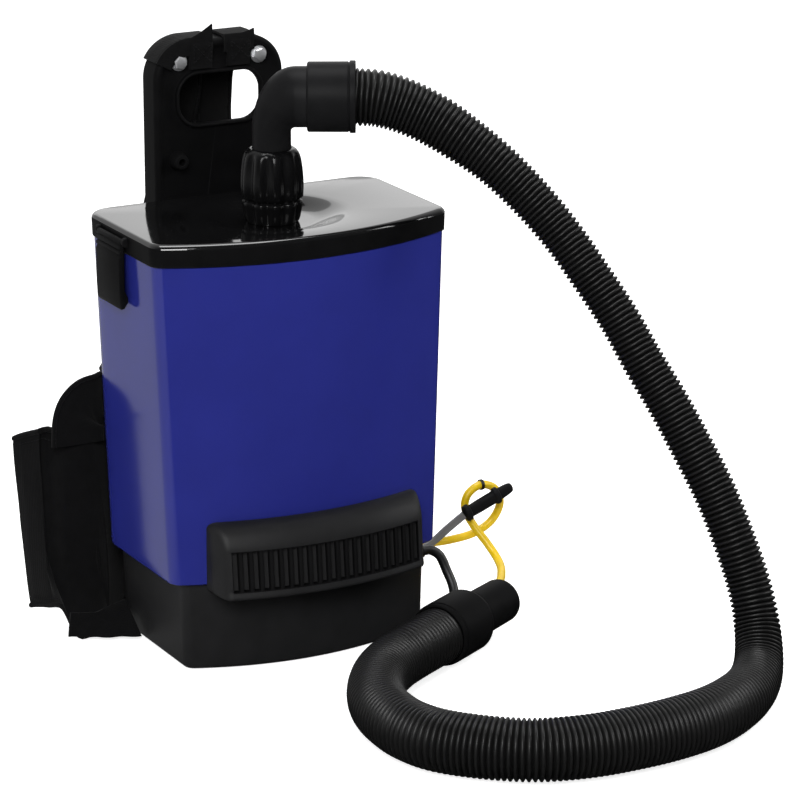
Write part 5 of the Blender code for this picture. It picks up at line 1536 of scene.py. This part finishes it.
class VACUUM_OT_belt(bpy.types.Operator):
    """Pads the two wings of the waist belt by a cloth simulation and binds their edges"""

    bl_idname = "vacuum.belt"
    bl_label = "Waist belt"

    def execute(self, context):
        sizes = context.scene.vacuum_harness
        for name, columns, crease in (("left", LEFT_WING, FOLD_LINE), ("right", RIGHT_WING, None)):
            shares = [0.0, 0.02, 0.06, 0.12, 0.2, 0.3, 0.4, 0.5, 0.6, 0.7, 0.8, 0.88, 0.94, 0.98, 1.0]
            rows = wing_rows(columns, sizes.belt_thickness - 0.0030, shares)
            rings = []
            for i in range(len(rows[0][0])):
                front = [tuple(place[i] + normals[i] * crown[i]) for place, normals, crown in rows]
                back = [tuple(place[i] - normals[i] * crown[i]) for place, normals, crown in rows]
                rings.append(front + back[::-1])
            builder = skin(rings)
            node = f"waist_belt_{name}"
            wing = add_piece(
                f"belt_wing_{name}", builder, "cloth", "chassis", (node,), sharp=70
            )
            self.pad(context, wing, len(shares))
            if crease:
                self.fold(wing, crease)
            trim = bmesh.new()
            threads = bmesh.new()
            binding = [(0.0036 * a, 0.0026 * b) for a, b in circle(12)]
            for share, below in ((0.0, 0.045), (1.0, 0.955)):
                place, normals, _ = wing_rows(columns, sizes.belt_thickness, [share])[0]
                sweep(place[1:-1], normals[1:-1], binding, into=trim)
                place, normals, crown = wing_rows(columns, sizes.belt_thickness + 0.0006, [below])[0]
                for face in (-1, 1):
                    row = place + normals * (face * crown)[:, None]
                    sew(threads, row[3:-3], normals[3:-3] * face, sizes.stitch)
            if crease:
                self.flap(trim)
            add_detail(wing, f"belt_binding_{name}", trim, "webbing", sharp=70)
            add_detail(wing, f"belt_stitches_{name}", threads, "thread")
        return {"FINISHED"}

    def pad(self, context, wing, count):
        """Swells the wing under a light pressure, held along its sewn edges, and keeps the result."""
        before = np.array([v.co[:] for v in wing.data.vertices])
        sewn = wing.vertex_groups.new(name="sewn")
        last = len(before) // (2 * count) - 1
        for i in range(len(before)):
            ring, spot = divmod(i, 2 * count)
            row = min(spot, 2 * count - 1 - spot)
            if row < 2 or row > count - 3 or ring < 2 or ring > last - 2:
                sewn.add([i], 1.0, "REPLACE")
        cloth = wing.modifiers.new("pad", "CLOTH").settings
        cloth.vertex_group_mass = "sewn"
        cloth.use_pressure = True
        cloth.uniform_pressure_force = 4.0
        cloth.effector_weights.gravity = 0.0
        cloth.quality = 6
        for number in range(1, 21):
            context.scene.frame_set(number)
        self.keep(context, wing)
        moved = np.array([v.co[:] for v in wing.data.vertices]) - before
        far = np.linalg.norm(moved, axis=1)
        # The padding swells by this much at most.
        most = 0.0024
        moved *= np.minimum(1.0, most / np.maximum(far, 1e-9))[:, None]
        wing.data.vertices.foreach_set("co", (before + moved).ravel())
        context.scene.frame_set(1)
        for vertex in wing.data.vertices:
            vertex.co += vertex.normal * (0.0009 * noise.noise(vertex.co * 38.0))
        smooth = wing.modifiers.new("fine", "SUBSURF")
        smooth.levels = smooth.render_levels = 1
        self.keep(context, wing)
        wing.data.shade_smooth()

    def keep(self, context, wing):
        """Puts the evaluated mesh in place of the wing's own and drops its modifiers."""
        graph = context.evaluated_depsgraph_get()
        made = bpy.data.meshes.new_from_object(wing.evaluated_get(graph))
        wing.modifiers.clear()
        wing.data = made

    def flap(self, builder):
        """A flap of cloth from the wing's lower hem, whose foot spreads forward beside the base."""
        hem = np.array([(-0.1770, 0.0470, 0.0270), (-0.1550, 0.0420, 0.0250), (-0.1215, 0.0520, 0.0290)])
        foot = np.array([(-0.1790, 0.0475, 0.0042), (-0.1530, 0.0335, 0.0036), (-0.1205, 0.0195, 0.0036)])
        rings = []
        for share in np.linspace(0, 1, 25):
            top, low = (self.along(row, share * 2) for row in (hem, foot))
            out = np.array((0.0, -1.0, 0.25)) * 0.0012
            wave = np.array((0.0, 0.0012 * math.sin(share * 19.0), 0.0))
            front = [top + (low - top) * k / 6 + out + wave * k / 6 for k in range(7)]
            back = [point - 2 * out for point in reversed(front)]
            rings.append([tuple(point) for point in front + back])
        skin(rings, into=builder)

    def along(self, row, at):
        """The place on a row of three points, at 0 to 2."""
        return np.array([np.interp(at, (0, 1, 2), row[:, k]) for k in range(3)])

    def fold(self, wing, crease):
        """Presses a sewn fold line into the wing along one upright."""
        width, depth = 0.0042, 0.0035
        for vertex in wing.data.vertices:
            near = (vertex.co.x - crease) / width
            vertex.co.y += depth * math.exp(-near * near)


class VACUUM_OT_hook(bpy.types.Operator):
    """Makes the cord hook with its rings, its grey strip and the tie round the cord"""

    bl_idname = "vacuum.hook"
    bl_label = "Cord hook"

    def execute(self, context):
        self.hook()
        self.strip()
        self.tie(context.scene.vacuum_hose.power_radius)
        return {"FINISHED"}

    def hook(self):
        """The hook's bar with its two rings."""
        foot, tip = Vector(HOOK_FOOT), Vector(HOOK_TIP)
        forward = (tip - foot).normalized()
        side = Vector((0, 1, 0))
        up = -forward.cross(side)
        length = (tip - foot).length
        # Distance along the bar, half its height and half its depth.
        sections = [(0.0004, 0.0068, 0.0052), (0.0010, 0.0076, 0.0058), (0.0020, 0.0083, 0.0061)]
        sections += [(0.0048, 0.0084, 0.0061), (0.0058, 0.0080, 0.0058), (0.0062, 0.0070, 0.0050)]
        sections += [(0.0066, 0.0061, 0.0043), (0.0160, 0.0066, 0.0043), (0.0335, 0.0066, 0.0043)]
        sections += [(0.0340, 0.0072, 0.0048), (0.0345, 0.0081, 0.0054), (0.0355, 0.0085, 0.0056)]
        sections += [(0.0380, 0.0085, 0.0056), (0.0390, 0.0081, 0.0054), (0.0394, 0.0072, 0.0048)]
        sections += [(0.0398, 0.0062, 0.0042), (0.0480, 0.0057, 0.0042), (length - 0.003, 0.0050, 0.0040)]
        sections += [(length - 0.0010, 0.0042, 0.0033), (length - 0.0002, 0.0026, 0.0020)]
        rings = []
        for along, tall, deep in sections:
            middle = foot + forward * along
            ring = []
            for a, b in circle(28):
                # A flattened oval, as a moulded bar has.
                rise = math.copysign(abs(a) ** 0.8, a)
                ring.append(tuple(middle + up * tall * rise + side * deep * b))
            rings.append(ring)
        add_piece("moulded_hook", skin(rings), "satin", "chassis", ("cord_hook",), sharp=50)

    def strip(self):
        """The grey strip from the hook's mount on the base to the bar."""
        path = smooth_route(HOOK_STRIP_ROUTE, 0.0025)
        builder = sweep(path, [(0, 0, 1)] * len(path), tape_edge(0.0084, 0.0026))
        add_piece("grey_strip", builder, "grey", "chassis", ("hook_strip",), sharp=60)
        repaint("matt", "hook_mount")
        soften("hook_mount", 0.0008)

    def tie(self, reach):
        """A tie round the power cord at the top of its loop."""
        cord = smooth_route(POWER_ROUTE, 0.0020)
        at = int(np.argmax(cord[:, 2] * (cord[:, 0] > 0.2)))
        along = Vector(cord[at + 2] - cord[at - 2]).normalized()
        place = Matrix.Translation(cord[at]) @ along.to_track_quat("X", "Z").to_matrix().to_4x4()
        low, high = reach + 0.0001, reach + 0.0012
        profile = rounded([(-0.0016, low), (0.0016, low), (0.0016, high), (-0.0016, high)], 0.0005, 3)
        tie = revolve(profile, place, 32)
        add_detail(bpy.data.objects["power_cord_flex"], "cord_tie", tie, "rubber")


class VACUUM_OT_inside(bpy.types.Operator):
    """Finishes the solids inside the closed tub, which keep their shape"""

    bl_idname = "vacuum.inside"
    bl_label = "Inside pieces"

    def execute(self, context):
        repaint("foam", "exhaust_filter", "lid_seal", "motor_seal")
        repaint("paper", "dust_bag", "bag_collar")
        repaint("steel", "motor_body", "suction_fan")
        repaint("satin", "inlet_spigot")
        return {"FINISHED"}


class VACUUM_PT_panel(bpy.types.Panel):
    """Lists the steps that build the machine"""

    bl_idname = "VACUUM_PT_panel"
    bl_label = "Backpack vacuum"
    bl_space_type = "VIEW_3D"
    bl_region_type = "UI"
    bl_category = "Vacuum"

    def draw(self, context):
        for step in STEPS:
            self.layout.operator(step.bl_idname)


STEPS = (
    VACUUM_OT_stage,
    VACUUM_OT_hose_end,
    VACUUM_OT_hose,
    VACUUM_OT_cords,
    VACUUM_OT_tub,
    VACUUM_OT_lid,
    VACUUM_OT_vent,
    VACUUM_OT_inlet,
    VACUUM_OT_plate,
    VACUUM_OT_loops,
    VACUUM_OT_straps,
    VACUUM_OT_belt,
    VACUUM_OT_hook,
    VACUUM_OT_inside,
)
GROUPS = {
    "vacuum_tub": TubSizes,
    "vacuum_hose": HoseSizes,
    "vacuum_harness": HarnessSizes,
    "vacuum_finishes": Finishes,
}


def register():
    """Adds the property groups, the operators and the panel."""
    for name, group in GROUPS.items():
        bpy.utils.register_class(group)
        setattr(bpy.types.Scene, name, bpy.props.PointerProperty(type=group))
    for made in (*STEPS, VACUUM_PT_panel):
        bpy.utils.register_class(made)


def unregister():
    """Takes them away again, last first."""
    for made in reversed((*STEPS, VACUUM_PT_panel)):
        bpy.utils.unregister_class(made)
    for name, group in reversed(GROUPS.items()):
        delattr(bpy.types.Scene, name)
        bpy.utils.unregister_class(group)


def main():
    """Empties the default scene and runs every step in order."""
    for item in [o for o in bpy.data.objects if o.name in ("Cube", "Light", "Camera")]:
        bpy.data.objects.remove(item, do_unlink=True)
    register()
    for step in STEPS:
        group, name = step.bl_idname.split(".")
        getattr(getattr(bpy.ops, group), name)()


if __name__ == "__main__":
    main()
